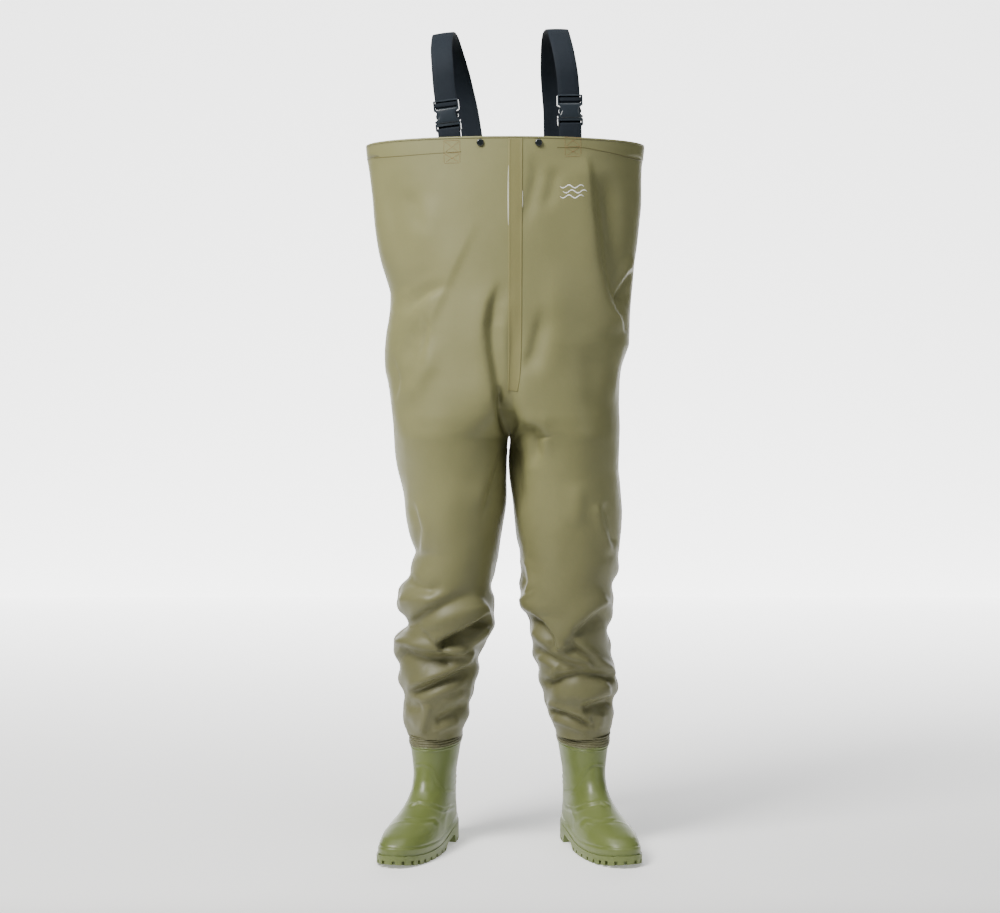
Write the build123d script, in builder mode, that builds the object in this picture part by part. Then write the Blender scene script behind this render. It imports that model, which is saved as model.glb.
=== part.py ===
"""Chest waders: a PVC-coated bib-and-leg garment on moulded boots, with buckled shoulder straps.

Frame: +Z up, origin on the floor under the middle of the whole object, front of the garment towards -Y,
wearer's left towards +X. Millimetres.
"""
from build123d import *
import math
import os

os.makedirs("parts", exist_ok=True)

# ---------------------------------------------------------------- driving dimensions
FABRIC = 1.2          # coated fabric wall
TAPE = 0.9            # welded seam tape
BIB_TOP = 1300.0      # top edge of the bib
HEM = 26.0            # folded hem height
LEG_END = 210.0       # lower edge of the leg fabric
TAPE_W = 29.0         # centre front tape width
CREASE_Y = 30.0       # plane of the side seams
WEB_W = 40.0          # shoulder webbing width
WEB_T = 1.6           # shoulder webbing thickness
BUCKLE_W = 46.0
BUCKLE_L = 56.0
TOE_OUT = 18.0        # degrees
BOOT_X, BOOT_Y = 138.5, 43.0
BOOT_TOP = 192.0
BOOT_WALL = 3.0
SNAP_X, SNAP_Z = 52.5, 1289.0

# half body from the chest to the ankle, wearer's right (x < 0):
# z, centre x, half width, centre y, half depth, squareness
BODY = [
    (1300, 0, 260, 22, 132, 2.0),
    (1200, 0, 252, 24, 138, 2.0),
    (1110, 0, 243, 26, 142, 2.05),
    (1036, 0, 229, 28, 146, 2.1),
    (976, 0, 226, 28.3, 148.3, 2.15),
    (916, 0, 228, 28.5, 148.5, 2.2),
    (857, 0, 219, 28.5, 148.5, 2.2),
    (800, 0, 213, 29, 147, 2.2),
    (772, -54, 157, 30, 144, 2.15),
    (738, -107, 103, 30, 137, 2.15),
    (690, -106, 100, 30, 130, 2.15),
    (630, -103, 92, 28, 122, 2.1),
    (570, -101.5, 84.5, 26, 112, 2.0),
    (510, -106, 82, 24, 104, 2.0),
    (460, -113, 87, 22, 102, 2.0),
    (400, -119, 80, 25, 96, 2.0),
    (345, -126, 76, 30, 92, 2.0),
    (290, -131, 71, 35, 87, 2.0),
    (240, -136, 64, 40, 80, 2.0),
    (LEG_END, -138.5, 56, 43, 73, 2.0),
]
N_BODY = 24


def oval(cx, cy, a, b, n=2.0, egg=0.0, count=N_BODY):
    """Points of a squared oval; egg widens it towards +y."""
    pts = []
    for i in range(count):
        t = 2 * math.pi * i / count
        c, s = math.cos(t), math.sin(t)
        x = math.copysign(abs(c) ** (2 / n), c)
        y = math.copysign(abs(s) ** (2 / n), s)
        pts.append((cx + a * x * (1 + egg * y), cy + b * y))
    return pts


def body_points(row, grow):
    z, cx, a, cy, b, n = row
    return oval(cx, cy, a + grow, b + grow, n)


def save(builder, name):
    builder.part.label = name
    export_step(builder.part, f"parts/{name}.step")


# ---------------------------------------------------------------- garment half-body volumes
with BuildPart() as half_outer:
    for row in BODY:
        with BuildSketch(Plane.XY.offset(row[0])):
            with BuildLine():
                Spline(*body_points(row, 0), periodic=True)
            make_face()
    loft(ruled=True)

with BuildPart() as half_inner:
    for row in BODY:
        with BuildSketch(Plane.XY.offset(row[0])):
            with BuildLine():
                Spline(*body_points(row, -FABRIC), periodic=True)
            make_face()
    loft(ruled=True)

with BuildPart() as half_shell:
    add(half_outer.part)
    add(half_inner.part, mode=Mode.SUBTRACT)
    split(bisect_by=Plane.YZ, keep=Keep.BOTTOM)

TORSO = [r for r in BODY if r[0] >= 800]

with BuildPart() as tape_outer:
    for row in TORSO:
        with BuildSketch(Plane.XY.offset(row[0])):
            with BuildLine():
                Spline(*body_points(row, TAPE), periodic=True)
            make_face()
    loft(ruled=True)

HEM_ROW_LOW = (BIB_TOP - HEM, 0, 260 - 8 * HEM / 100, 22 + 2 * HEM / 100, 132 + 6 * HEM / 100, 2.0)

# snap posts pass through the front panels and the hem
with BuildPart() as snap_holes:
    with BuildSketch(Plane.XZ.offset(60)):
        with Locations((-SNAP_X, SNAP_Z), (SNAP_X, SNAP_Z)):
            Circle(2.2)
    extrude(amount=80)

# ---------------------------------------------------------------- four cut panels
with BuildPart() as front_panel_right:
    add(half_shell.part)
    split(bisect_by=Plane.XZ.offset(-CREASE_Y), keep=Keep.TOP)
    add(snap_holes.part, mode=Mode.SUBTRACT)
save(front_panel_right, "front_panel_right")

with BuildPart() as front_panel_left:
    mirror(front_panel_right.part, about=Plane.YZ)
save(front_panel_left, "front_panel_left")

with BuildPart() as back_panel_right:
    add(half_shell.part)
    split(bisect_by=Plane.XZ.offset(-CREASE_Y), keep=Keep.BOTTOM)
save(back_panel_right, "back_panel_right")

with BuildPart() as back_panel_left:
    mirror(back_panel_right.part, about=Plane.YZ)
save(back_panel_left, "back_panel_left")

# ---------------------------------------------------------------- hem facing inside the bib's top edge
with BuildPart() as top_hem_facing:
    for grow_row in (HEM_ROW_LOW, BODY[0]):
        with BuildSketch(Plane.XY.offset(grow_row[0])):
            with BuildLine():
                Spline(*body_points(grow_row, -FABRIC - 0.15), periodic=True)
            make_face()
    loft(ruled=True)
    for grow_row in (HEM_ROW_LOW, BODY[0]):
        with BuildSketch(Plane.XY.offset(grow_row[0])):
            with BuildLine():
                Spline(*body_points(grow_row, -2 * FABRIC - 0.15), periodic=True)
            make_face()
    loft(ruled=True, mode=Mode.SUBTRACT)
    add(snap_holes.part, mode=Mode.SUBTRACT)
save(top_hem_facing, "top_hem_facing")

# ---------------------------------------------------------------- welded seam tapes
with BuildPart() as front_seam_tape:
    with BuildSketch(Plane.XY.offset(800)):
        with Locations((11, -100)):
            Rectangle(TAPE_W, 200)
    extrude(amount=BIB_TOP - 800)
    add(tape_outer.part, mode=Mode.INTERSECT)
    add(half_outer.part, mode=Mode.SUBTRACT)
save(front_seam_tape, "front_seam_tape")

with BuildPart() as back_seam_tape:
    with BuildSketch(Plane.XY.offset(800)):
        with Locations((0, 150)):
            Rectangle(TAPE_W, 200)
    extrude(amount=BIB_TOP - 800)
    add(tape_outer.part, mode=Mode.INTERSECT)
    add(half_outer.part, mode=Mode.SUBTRACT)
save(back_seam_tape, "back_seam_tape")

# welded tapes over the side seams and the inside-leg seams
with BuildPart() as tape_half:
    for row in BODY:
        with BuildSketch(Plane.XY.offset(row[0])):
            with BuildLine():
                Spline(*body_points(row, TAPE), periodic=True)
            make_face()
    loft(ruled=True)
for name, x_low, x_high, z_high in (("side_seam_tape", -300, -150, BIB_TOP), ("inseam_tape", -118, -4, 736)):
    with BuildPart() as seam:
        add(tape_half.part)
        add(half_outer.part, mode=Mode.SUBTRACT)
        with BuildSketch(Plane.XY.offset(LEG_END)):
            with Locations(((x_low + x_high) / 2, CREASE_Y + (10 if name == "inseam_tape" else 0))):
                Rectangle(x_high - x_low, 22)
        extrude(amount=z_high - LEG_END, mode=Mode.INTERSECT)
    save(seam, f"{name}_right")
    print(seam.part.label, len(seam.part.solids()), round(seam.part.volume), seam.part.bounding_box())
    with BuildPart() as seam_left:
        mirror(seam.part, about=Plane.YZ)
    save(seam_left, f"{name}_left")

# ---------------------------------------------------------------- inner pocket on two snap fasteners
POCKET_Y0, POCKET_Y1 = -100.0, -91.0
with BuildPart() as inner_pocket:
    with BuildSketch(Plane.XZ.offset(-POCKET_Y0)):
        with Locations((0, 1235)):
            RectangleRounded(150, 118, 10)
    extrude(amount=-(POCKET_Y1 - POCKET_Y0))
    with BuildSketch(Plane.XZ.offset(-POCKET_Y0 - 1.2)):
        with Locations((0, 1237.5)):
            Rectangle(147.6, 118)
    extrude(amount=-(POCKET_Y1 - POCKET_Y0 - 2.4), mode=Mode.SUBTRACT)
save(inner_pocket, "inner_pocket")

SNAPS = [(-SNAP_X, SNAP_Z), (SNAP_X, SNAP_Z)]
with BuildPart() as snap_caps:
    with BuildSketch(Plane.XZ.offset(109.0)):
        with Locations(*SNAPS):
            Circle(6.6)
    extrude(amount=3.4)
    fillet(snap_caps.faces().sort_by(Axis.Y)[:2].edges(), 2.6)
    with BuildSketch(Plane.XZ.offset(109.0)):
        with Locations(*SNAPS):
            Circle(2.0)
    extrude(amount=-8.4)
save(snap_caps, "snap_caps")

with BuildPart() as snap_washers:
    with BuildSketch(Plane.XZ.offset(103.8)):
        with Locations(*SNAPS):
            Circle(6.0)
            Circle(2.1, mode=Mode.SUBTRACT)
    extrude(amount=-0.9)
save(snap_washers, "snap_washers")

with BuildPart() as pocket_snap_sockets:
    with BuildSketch(Plane.XZ.offset(102.6)):
        with Locations(*SNAPS):
            Circle(6.0)
            Circle(2.3, mode=Mode.SUBTRACT)
    extrude(amount=-2.6)
save(pocket_snap_sockets, "pocket_snap_sockets")

# ---------------------------------------------------------------- shoulder straps and side-release buckles
# origin at the bib's top edge behind the front panel, direction across the webbing,
# height of the buckle above the bib, height of the strap's crest
STRAPS = {
    "right": ((-108.0, -88.0, BIB_TOP), (0.987, -0.1146, 0.1105), 13.0, 208.0),
    "left": ((110.8, -88.0, BIB_TOP), (0.9935, 0.1105, 0.0258), 22.0, 214.0),
}
RUN_S = 6.1           # the webbing's plane behind the buckle's middle plane
SLOT = 41.2           # clear width of the buckle's webbing slots


def corner_radii(points, share=0.45):
    radii = []
    for a, b, c in zip(points, points[1:], points[2:]):
        p, q = (b[0] - a[0], b[1] - a[1]), (c[0] - b[0], c[1] - b[1])
        lp, lq = math.hypot(*p), math.hypot(*q)
        turn = math.acos((p[0] * q[0] + p[1] * q[1]) / lp / lq)
        radii.append(share * min(lp, lq) / math.tan(turn / 2))
    return radii


for side, (origin, across, lift, crest) in STRAPS.items():
    U = Vector(*across).normalized()
    V = (Vector(0, 0, 1) - U * U.Z).normalized()
    W = U.cross(V)                                   # outwards, to the front
    face = Plane(origin=origin, x_dir=U, z_dir=W)    # x across, y up the webbing
    edge = Plane(origin=origin, x_dir=-W, z_dir=U)   # x to the back, y up the webbing
    base = face.offset(0)
    print(side, "strap axis", [round(v, 5) for v in (V.X, V.Y, V.Z)], "out", [round(v, 5) for v in (W.X, W.Y, W.Z)],
          "across", [round(v, 5) for v in (U.X, U.Y, U.Z)])

    # long elastic webbing: tail behind the buckle, over the shoulder, down to the back panel
    run = [(RUN_S, -8), (RUN_S, 150), (60, crest), (148, crest), (211, 126), (222.5, 44), (223, -34)]
    with BuildPart() as strap:
        with BuildLine(edge) as path:
            FilletPolyline(*run, radius=corner_radii(run))
        with BuildSketch(Plane(origin=path.line @ 0, x_dir=U, z_dir=path.line % 0)):
            Rectangle(WEB_W, WEB_T)
        sweep()
    save(strap, f"shoulder_strap_{side}")

    # short webbing tab sewn behind the front panel, looped through the plug
    tab_run = [(1.1, -34), (2.9, lift - 6), (2.9, lift + 5.0), (-2.9, lift + 5.0), (-2.9, lift - 6), (-1.1, -34)]
    with BuildPart() as tab:
        with BuildLine(edge) as tab_path:
            FilletPolyline(*tab_run, radius=2.0)
        with BuildSketch(Plane(origin=tab_path.line @ 0, x_dir=U, z_dir=tab_path.line % 0)):
            Rectangle(WEB_W, 1.4)
        sweep()
    save(tab, f"buckle_tab_{side}")

    # male half: frame with a webbing bar, and the guide tongue
    with BuildPart() as plug:
        with BuildSketch(face.offset(-4.4)):
            with Locations((0, lift + 7)):
                RectangleRounded(BUCKLE_W, 14, 2.4)
        extrude(amount=8.8)
        with BuildSketch(face.offset(-5)):
            with Locations((0, lift + 4.5)):
                Rectangle(SLOT, 9.02)
        extrude(amount=10, mode=Mode.SUBTRACT)
        with BuildSketch(face.offset(-1.8)):
            with Locations((0, lift + 2)):
                Rectangle(BUCKLE_W - 4, 3.6)
            with Locations((0, lift + 25)):
                Rectangle(8, 26)
        extrude(amount=3.6)
    save(plug, f"buckle_plug_{side}")

    # the two sprung arms of the male half
    for name, sign in (("outer", -1 if side == "right" else 1), ("inner", 1 if side == "right" else -1)):
        with BuildPart() as prong:
            with BuildSketch(face.offset(-2.4)):
                with BuildLine():
                    Polyline((sign * 10.5, lift + 16.4), (sign * 14.8, lift + 16.4), (sign * 14.8, lift + 22.6),
                             (sign * 19.6, lift + 22.9))
                    ThreePointArc((sign * 19.6, lift + 22.9), (sign * 20.5, lift + 27.5), (sign * 18.6, lift + 32.2))
                    Polyline((sign * 18.6, lift + 32.2), (sign * 15.0, lift + 35), (sign * 11.5, lift + 35),
                             (sign * 10.5, lift + 33.5), (sign * 10.5, lift + 16.4))
                make_face()
                with Locations((sign * 12.65, lift + 16.4)):
                    Circle(2.15)
            extrude(amount=4.8)
        save(prong, f"buckle_prong_{side}_{name}")
        pivot = face.from_local_coords((sign * 12.65, lift + 16.4, 0))
        print(side, name, "prong pivot", [round(v, 3) for v in (pivot.X, pivot.Y, pivot.Z)])

    # female half: hollow body with side windows, and the ladder bars for the webbing
    with BuildPart() as socket:
        with BuildSketch(face.offset(-4.9)):
            with Locations((0, lift + (14.4 + BUCKLE_L) / 2)):
                RectangleRounded(BUCKLE_W, BUCKLE_L - 14.4, 2.4)
            with Locations((27, lift + 27.5), (-27, lift + 27.5)):
                Circle(10.5, mode=Mode.SUBTRACT)
            with Locations((0, lift + 43.5), (0, lift + 51.25)):
                Rectangle(SLOT, 4.6, mode=Mode.SUBTRACT)
        extrude(amount=9.8)
        chamfer(socket.faces().sort_by(SortBy.DISTANCE)[0:0] or
                socket.edges().filter_by(GeomType.LINE).filter_by(lambda e: abs(e.tangent_at(0).dot(U)) > 0.99)
                .group_by(Axis(origin, W))[-1].group_by(Axis(origin, V))[-1], 1.2)
        with BuildSketch(face.offset(-3)):
            with Locations((0, lift + 26.8)):
                Rectangle(36.4, 25.6)
        extrude(amount=6, mode=Mode.SUBTRACT)
        # the ladder bars are thinner than the body
        with BuildSketch(face.offset(1.9)):
            with Locations((0, lift + 47.4)):
                Rectangle(SLOT, 3.4)
        extrude(amount=5, mode=Mode.SUBTRACT)
        with BuildSketch(face.offset(-1.9)):
            with Locations((0, lift + 47.4)):
                Rectangle(SLOT, 3.4)
        extrude(amount=-5, mode=Mode.SUBTRACT)
    save(socket, f"buckle_socket_{side}")

    # webbing passing over the ladder's middle bar
    wrap_run = [(4.6, lift + 51.2), (-2.7, lift + 51.2), (-2.7, lift + 43.6), (4.6, lift + 43.6)]
    with BuildPart() as wrap:
        with BuildLine(edge) as wrap_path:
            FilletPolyline(*wrap_run, radius=2.0)
        with BuildSketch(Plane(origin=wrap_path.line @ 0, x_dir=U, z_dir=wrap_path.line % 0)):
            Rectangle(WEB_W, 1.4)
        sweep()
    save(wrap, f"strap_ladder_wrap_{side}")

    # fabric patch that the strap's back end is sewn to
    with BuildPart() as patch:
        with BuildSketch(edge.offset(-23)):
            with Locations((224.9, -20)):
                Rectangle(1.4, 38)
        extrude(amount=46)
    save(patch, f"back_strap_patch_{side}")
    for b in (strap, tab, plug, prong, socket, wrap, patch):
        print(b.part.label, len(b.part.solids()), round(b.part.volume), b.part.bounding_box())

# ---------------------------------------------------------------- boots
ft = math.radians(TOE_OUT)
BOOT = Plane(origin=(-BOOT_X, BOOT_Y, 0), x_dir=(-math.cos(ft), math.sin(ft), 0), z_dir=(0, 0, 1))
# height, middle along the foot, half length, half width, egg, waist, skew, squareness
SLICES = [
    (8, 76.5, 146.5, 46.0, 0.12, 0.06, -3, 2.35),
    (30, 76.0, 146.5, 46.5, 0.12, 0.06, -3, 2.35),
    (46, 69.25, 138.75, 45.0, 0.11, 0.05, -3, 2.3),
    (59, 53.75, 122.25, 42.5, 0.09, 0.03, -2, 2.25),
    (70, 37.25, 104.75, 39.5, 0.07, 0.02, -1, 2.15),
    (81, 24.75, 91.25, 37.5, 0.04, 0.0, 0, 2.1),
    (93, 15.75, 81.25, 36.0, 0.02, 0.0, 0, 2.05),
    (108, 7.25, 71.75, 35.5, 0.0, 0.0, 0, 2.0),
    (126, 2.5, 66.5, 35.5, 0.0, 0.0, 0, 2.0),
    (156, -1.0, 63.5, 40.0, 0.0, 0.0, 0, 2.0),
    (BOOT_TOP, -2.0, 65.0, 46.0, 0.0, 0.0, 0, 2.0),
]


def slice_points(row, grow, count=24):
    z, uc, a, b, egg, waist, skew, n = row
    pts = []
    for i in range(count):
        t = 2 * math.pi * i / count
        c, s = math.cos(t), math.sin(t)
        x = math.copysign(abs(c) ** (2 / n), c)
        y = math.copysign(abs(s) ** (2 / n), s)
        w = 1 - waist * math.exp(-(((y + 0.2) / 0.28) ** 2))
        pts.append(((b + grow) * x * (1 + egg * y) * w - skew * max(y, 0) ** 2, uc + (a + grow) * y))
    return pts


with BuildPart() as boot_outer:
    for row in SLICES:
        with BuildSketch(BOOT.offset(row[0])):
            with BuildLine():
                Spline(*slice_points(row, 0), periodic=True)
            make_face()
    loft(ruled=True)

# inside of the wall: lower over the foot, where the surface is nearly level; both run out past the rim
def inside(grow, drop):
    rows = [(r[0] - (drop if r[0] < 120 else 0), *r[1:]) for r in SLICES[:-1]]
    rows.append((BOOT_TOP + 6, *SLICES[-1][1:]))
    return [(r[0], slice_points(r, grow)) for r in rows]


with BuildPart() as boot_inner:
    for z, pts in inside(-BOOT_WALL, BOOT_WALL):
        with BuildSketch(BOOT.offset(z)):
            with BuildLine():
                Spline(*pts, periodic=True)
            make_face()
    loft(ruled=True)

with BuildPart() as lining_inner:
    for z, pts in inside(-BOOT_WALL - 1.0, BOOT_WALL + 1.0):
        with BuildSketch(BOOT.offset(z)):
            with BuildLine():
                Spline(*pts, periodic=True)
            make_face()
    loft(ruled=True)

# side view of the outsole: heel block, arch, forefoot and toe spring
side_view = Plane(origin=BOOT.origin, x_dir=BOOT.y_dir, z_dir=BOOT.x_dir)
SOLE_TOP = [(-95, 34), (-30, 33.5), (15, 30), (45, 24), (80, 18.5), (125, 16), (175, 16.5), (245, 25)]


def up(points, lift):
    return [(u, z + lift) for u, z in points]


with BuildPart() as below_sole_top:
    with BuildSketch(side_view.offset(-90)):
        with BuildLine():
            Spline(*SOLE_TOP)
            Polyline(SOLE_TOP[-1], (SOLE_TOP[-1][0], -20), (SOLE_TOP[0][0], -20), SOLE_TOP[0])
        make_face()
    extrude(amount=180)

with BuildPart() as below_insole_top:
    with BuildSketch(side_view.offset(-90)):
        with BuildLine():
            Spline(*up(SOLE_TOP, 5))
            Polyline(up(SOLE_TOP, 5)[-1], (SOLE_TOP[-1][0], -20), (SOLE_TOP[0][0], -20), up(SOLE_TOP, 5)[0])
        make_face()
    extrude(amount=180)

with BuildPart() as boot_upper_right:
    add(boot_outer.part)
    add(boot_inner.part, mode=Mode.SUBTRACT)
    add(below_sole_top.part, mode=Mode.SUBTRACT)
save(boot_upper_right, "boot_upper_right")

with BuildPart() as boot_insole_right:
    add(boot_inner.part)
    add(below_insole_top.part, mode=Mode.INTERSECT)
    add(below_sole_top.part, mode=Mode.SUBTRACT)
save(boot_insole_right, "boot_insole_right")

with BuildPart() as boot_lining_right:
    add(boot_inner.part)
    add(lining_inner.part, mode=Mode.SUBTRACT)
    add(below_insole_top.part, mode=Mode.SUBTRACT)
    split(bisect_by=Plane.XY.offset(BOOT_TOP - 1), keep=Keep.BOTTOM)
save(boot_lining_right, "boot_lining_right")

OUTLINE = (0, 76.5, 151.0, 49.0, 0.13, 0.06, -3, 2.4)
with BuildPart() as boot_outsole_right:
    with BuildSketch(BOOT.offset(-2)):
        with BuildLine():
            Spline(*slice_points(OUTLINE, 0), periodic=True)
        make_face()
    extrude(amount=60)
    with BuildSketch(side_view.offset(-90)):
        with BuildLine():
            Spline(*SOLE_TOP)
            Polyline(SOLE_TOP[-1], (245, 10.5))
            Spline((245, 10.5), (205, 3.0), (165, 0), tangents=[(-1, -0.22), (-1, 0)])
            Polyline((165, 0), (72, 0), (64, 5))
            Spline((64, 5), (36, 13.5), (8, 11), tangents=[(-0.6, 1), (-0.3, -1)])
            Polyline((8, 11), (4, 0), (-66, 0), (-80, 4), (-95, 10), SOLE_TOP[0])
        make_face()
    extrude(amount=180, mode=Mode.INTERSECT)
    # cleat gaps round the forefoot and the heel
    rim = slice_points(OUTLINE, 0, 72)
    gaps = []
    last = None
    for k, (x, y) in enumerate(rim + rim[:1]):
        if last is not None and math.dist((x, y), last) < 14.5:
            continue
        if not (74 < y or -62 < y < -2):
            continue
        nx, ny = rim[(k + 1) % 72], rim[(k - 1) % 72]
        turn = math.degrees(math.atan2(nx[1] - ny[1], nx[0] - ny[0]))
        floor = 0 if y < 165 else (y - 165) * 0.105
        gaps.append(BOOT.location * Location((x, y, floor - 1), (0, 0, turn)))
        last = (x, y)
    with Locations(*gaps):
        Box(6.0, 15, 15.0, mode=Mode.SUBTRACT)
    # cross grooves
    with Locations(*[BOOT.location * Location((0, y, 0)) for y in (88, 103, 118, 133, 148, -52, -36, -20)]):
        Box(56, 4.5, 7, mode=Mode.SUBTRACT)
save(boot_outsole_right, "boot_outsole_right")

# ribbed band where the leg is welded to the boot's rim
with BuildPart() as boot_seam_band_right:
    for z in (BOOT_TOP - 6, LEG_END - 3):
        with BuildSketch(BOOT.offset(z)):
            with BuildLine():
                Spline(*slice_points(SLICES[-1], 1.9), periodic=True)
            make_face()
    loft(ruled=True)
    for z in (BOOT_TOP - 6, LEG_END - 3):
        with BuildSketch(BOOT.offset(z)):
            with BuildLine():
                Spline(*slice_points(SLICES[-1], 0.3), periodic=True)
            make_face()
    loft(ruled=True, mode=Mode.SUBTRACT)
save(boot_seam_band_right, "boot_seam_band_right")

for source, name in ((boot_upper_right, "boot_upper_left"), (boot_insole_right, "boot_insole_left"),
                     (boot_lining_right, "boot_lining_left"), (boot_outsole_right, "boot_outsole_left"),
                     (boot_seam_band_right, "boot_seam_band_left")):
    with BuildPart() as other_side:
        mirror(source.part, about=Plane.YZ)
    save(other_side, name)

for p in (front_panel_right, back_panel_right, top_hem_facing, front_seam_tape, back_seam_tape, inner_pocket,
          snap_caps, snap_washers, pocket_snap_sockets, boot_upper_right, boot_insole_right, boot_lining_right,
          boot_outsole_right, boot_seam_band_right):
    print(p.part.label, len(p.part.solids()), p.part.is_valid, round(p.part.volume), p.part.bounding_box())
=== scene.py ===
import bpy
import math
import numpy as np
from mathutils import Matrix, Vector


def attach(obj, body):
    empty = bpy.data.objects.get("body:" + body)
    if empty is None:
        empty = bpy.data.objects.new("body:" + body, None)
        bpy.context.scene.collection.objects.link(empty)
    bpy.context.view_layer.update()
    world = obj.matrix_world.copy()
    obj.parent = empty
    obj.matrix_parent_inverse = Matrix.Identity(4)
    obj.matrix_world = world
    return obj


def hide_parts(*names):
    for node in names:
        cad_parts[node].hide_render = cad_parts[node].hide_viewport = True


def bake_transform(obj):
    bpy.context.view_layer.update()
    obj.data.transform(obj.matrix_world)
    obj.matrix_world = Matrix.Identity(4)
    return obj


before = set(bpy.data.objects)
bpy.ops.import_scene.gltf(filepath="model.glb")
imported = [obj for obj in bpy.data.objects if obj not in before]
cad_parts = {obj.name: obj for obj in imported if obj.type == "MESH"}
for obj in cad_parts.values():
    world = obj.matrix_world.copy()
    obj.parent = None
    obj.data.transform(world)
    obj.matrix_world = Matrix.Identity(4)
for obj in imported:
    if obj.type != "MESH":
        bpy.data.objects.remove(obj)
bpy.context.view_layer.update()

rng = np.random.default_rng(7)

# ------------------------------------------------------------------ camera
CAM_Y, CAM_Z, FOC = -3.4525, 0.8155, 1861.0
PX0, PY0 = 509.4, 406.0
cam_data = bpy.data.cameras.new("camera")
cam_data.sensor_width = 36.0
cam_data.lens = FOC * 36.0 / 1000.0
cam_data.shift_x = (500.0 - PX0) / 1000.0
cam_data.shift_y = (PY0 - 456.5) / 1000.0
cam = bpy.data.objects.new("camera", cam_data)
cam.location = (0, CAM_Y, CAM_Z)
cam.rotation_euler = (math.radians(90), 0, 0)
bpy.context.scene.collection.objects.link(cam)
bpy.context.scene.camera = cam


def to_px(p):
    d = p[..., 1] - CAM_Y
    return PX0 + FOC * p[..., 0] / d, PY0 - FOC * (p[..., 2] - CAM_Z) / d


def x_at(px, y):
    return (px - PX0) * (y - CAM_Y) / FOC


def z_at(py, y):
    return CAM_Z + (PY0 - py) * (y - CAM_Y) / FOC


# ------------------------------------------------------------------ helpers
def curve_through(xs, ys, x):
    """Smooth monotone-ish interpolation (Catmull-Rom tangents, limited) of ys over xs at x."""
    xs, ys = np.asarray(xs, float), np.asarray(ys, float)
    if xs[0] > xs[-1]:
        xs, ys = xs[::-1], ys[::-1]
    h = np.diff(xs)
    m = np.diff(ys) / h
    t = np.zeros_like(xs)
    t[1:-1] = np.where(m[:-1] * m[1:] > 0, 2 * m[:-1] * m[1:] / (m[:-1] + m[1:] + 1e-12), 0)
    t[0], t[-1] = m[0], m[-1]
    x = np.clip(x, xs[0], xs[-1])
    i = np.clip(np.searchsorted(xs, x) - 1, 0, len(xs) - 2)
    s = (x - xs[i]) / h[i]
    return ((2 * s**3 - 3 * s**2 + 1) * ys[i] + (s**3 - 2 * s**2 + s) * h[i] * t[i]
            + (-2 * s**3 + 3 * s**2) * ys[i + 1] + (s**3 - s**2) * h[i] * t[i + 1])


def smooth(a, n=1, axis=0):
    a = np.array(a, float)
    for _ in range(n):
        p = np.concatenate([np.take(a, [0], axis), a, np.take(a, [-1], axis)], axis)
        lo, hi = [slice(None)] * a.ndim, [slice(None)] * a.ndim
        lo[axis], hi[axis] = slice(0, -2), slice(2, None)
        a = 0.25 * p[tuple(lo)] + 0.5 * a + 0.25 * p[tuple(hi)]
    return a


def sstep(e0, e1, x):
    t = np.clip((x - e0) / (e1 - e0), 0, 1)
    return t * t * (3 - 2 * t)


def mesh_object(name, verts, faces, uvs=None, mats=()):
    me = bpy.data.meshes.new(name)
    verts = np.asarray(verts, np.float32).reshape(-1, 3)
    me.from_pydata(verts.tolist(), [], [list(map(int, f)) for f in faces])
    me.update()
    for p in me.polygons:
        p.use_smooth = True
    if uvs is not None:
        layer = me.uv_layers.new(name="UVMap")
        uvs = np.asarray(uvs, np.float32)
        loops = np.zeros(len(me.loops), np.int32)
        me.loops.foreach_get("vertex_index", loops)
        layer.data.foreach_set("uv", uvs[loops].ravel())
    for m in mats:
        me.materials.append(m)
    ob = bpy.data.objects.new(name, me)
    bpy.context.scene.collection.objects.link(ob)
    return ob


def grid_faces(rows, cols, close=False, base=0, flip=False):
    """Quads of a rows x cols grid of vertices, row-major."""
    r = np.arange(rows - 1)[:, None]
    c = np.arange(cols if close else cols - 1)[None, :]
    c2 = (c + 1) % cols
    f = np.stack([r * cols + c + 0 * r, r * cols + c2, (r + 1) * cols + c2, (r + 1) * cols + c + 0 * r], -1).reshape(-1, 4) + base
    return f[:, ::-1] if flip else f


def apply_modifiers(ob):
    bpy.context.view_layer.update()
    dg = bpy.context.evaluated_depsgraph_get()
    me = bpy.data.meshes.new_from_object(ob.evaluated_get(dg), preserve_all_data_layers=True, depsgraph=dg)
    old = ob.data
    ob.modifiers.clear()
    ob.data = me
    bpy.data.meshes.remove(old)


# ------------------------------------------------------------------ garment surface
# outline of the front view: row, outer edge on the wearer's right, outer edge on the wearer's left
TORSO = [(146, 366.2, 644.2), (150, 366.5, 644), (160, 367.6, 642.6), (168, 369, 641.4), (184, 371.2, 641), (200, 373, 641), (224, 375, 639), (248, 378.4, 636.4),
         (264, 382, 634), (280, 387, 632.6), (296, 390.8, 631), (308, 390.4, 630), (320, 389, 629.4), (332, 387, 629.2), (344, 386, 629), (352, 385.6, 626.6),
         (368, 386, 621.4), (384, 388.6, 619), (408, 390.6, 617.4), (432, 394, 619), (456, 397.4, 620), (472, 400, 619.6), (480, 401.6, 620), (496, 404, 620.2),
         (512, 405, 620.8), (528, 408, 620.4), (544, 413, 619.4), (552, 416, 619), (560, 414.6, 618.6), (568, 411.4, 617), (576, 408, 615), (584, 402, 613.6), (592, 398.6, 613),
         (600, 398.2, 613), (608, 400, 612), (616, 404, 610.2), (624, 406.6, 609.2), (632, 401.6, 609), (640, 395, 608.8), (648, 394.4, 609.4), (656, 396, 611), (664, 398, 613.6), (672, 399, 616.6),
         (680, 401, 617.6), (688, 403, 615.6), (696, 404.2, 613), (704, 403.4, 613.2), (712, 403, 613.8), (720, 404, 612.4), (728, 406, 610.6), (736, 408.6, 609.6), (744, 410.4, 609), (752, 411, 608)]
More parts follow.
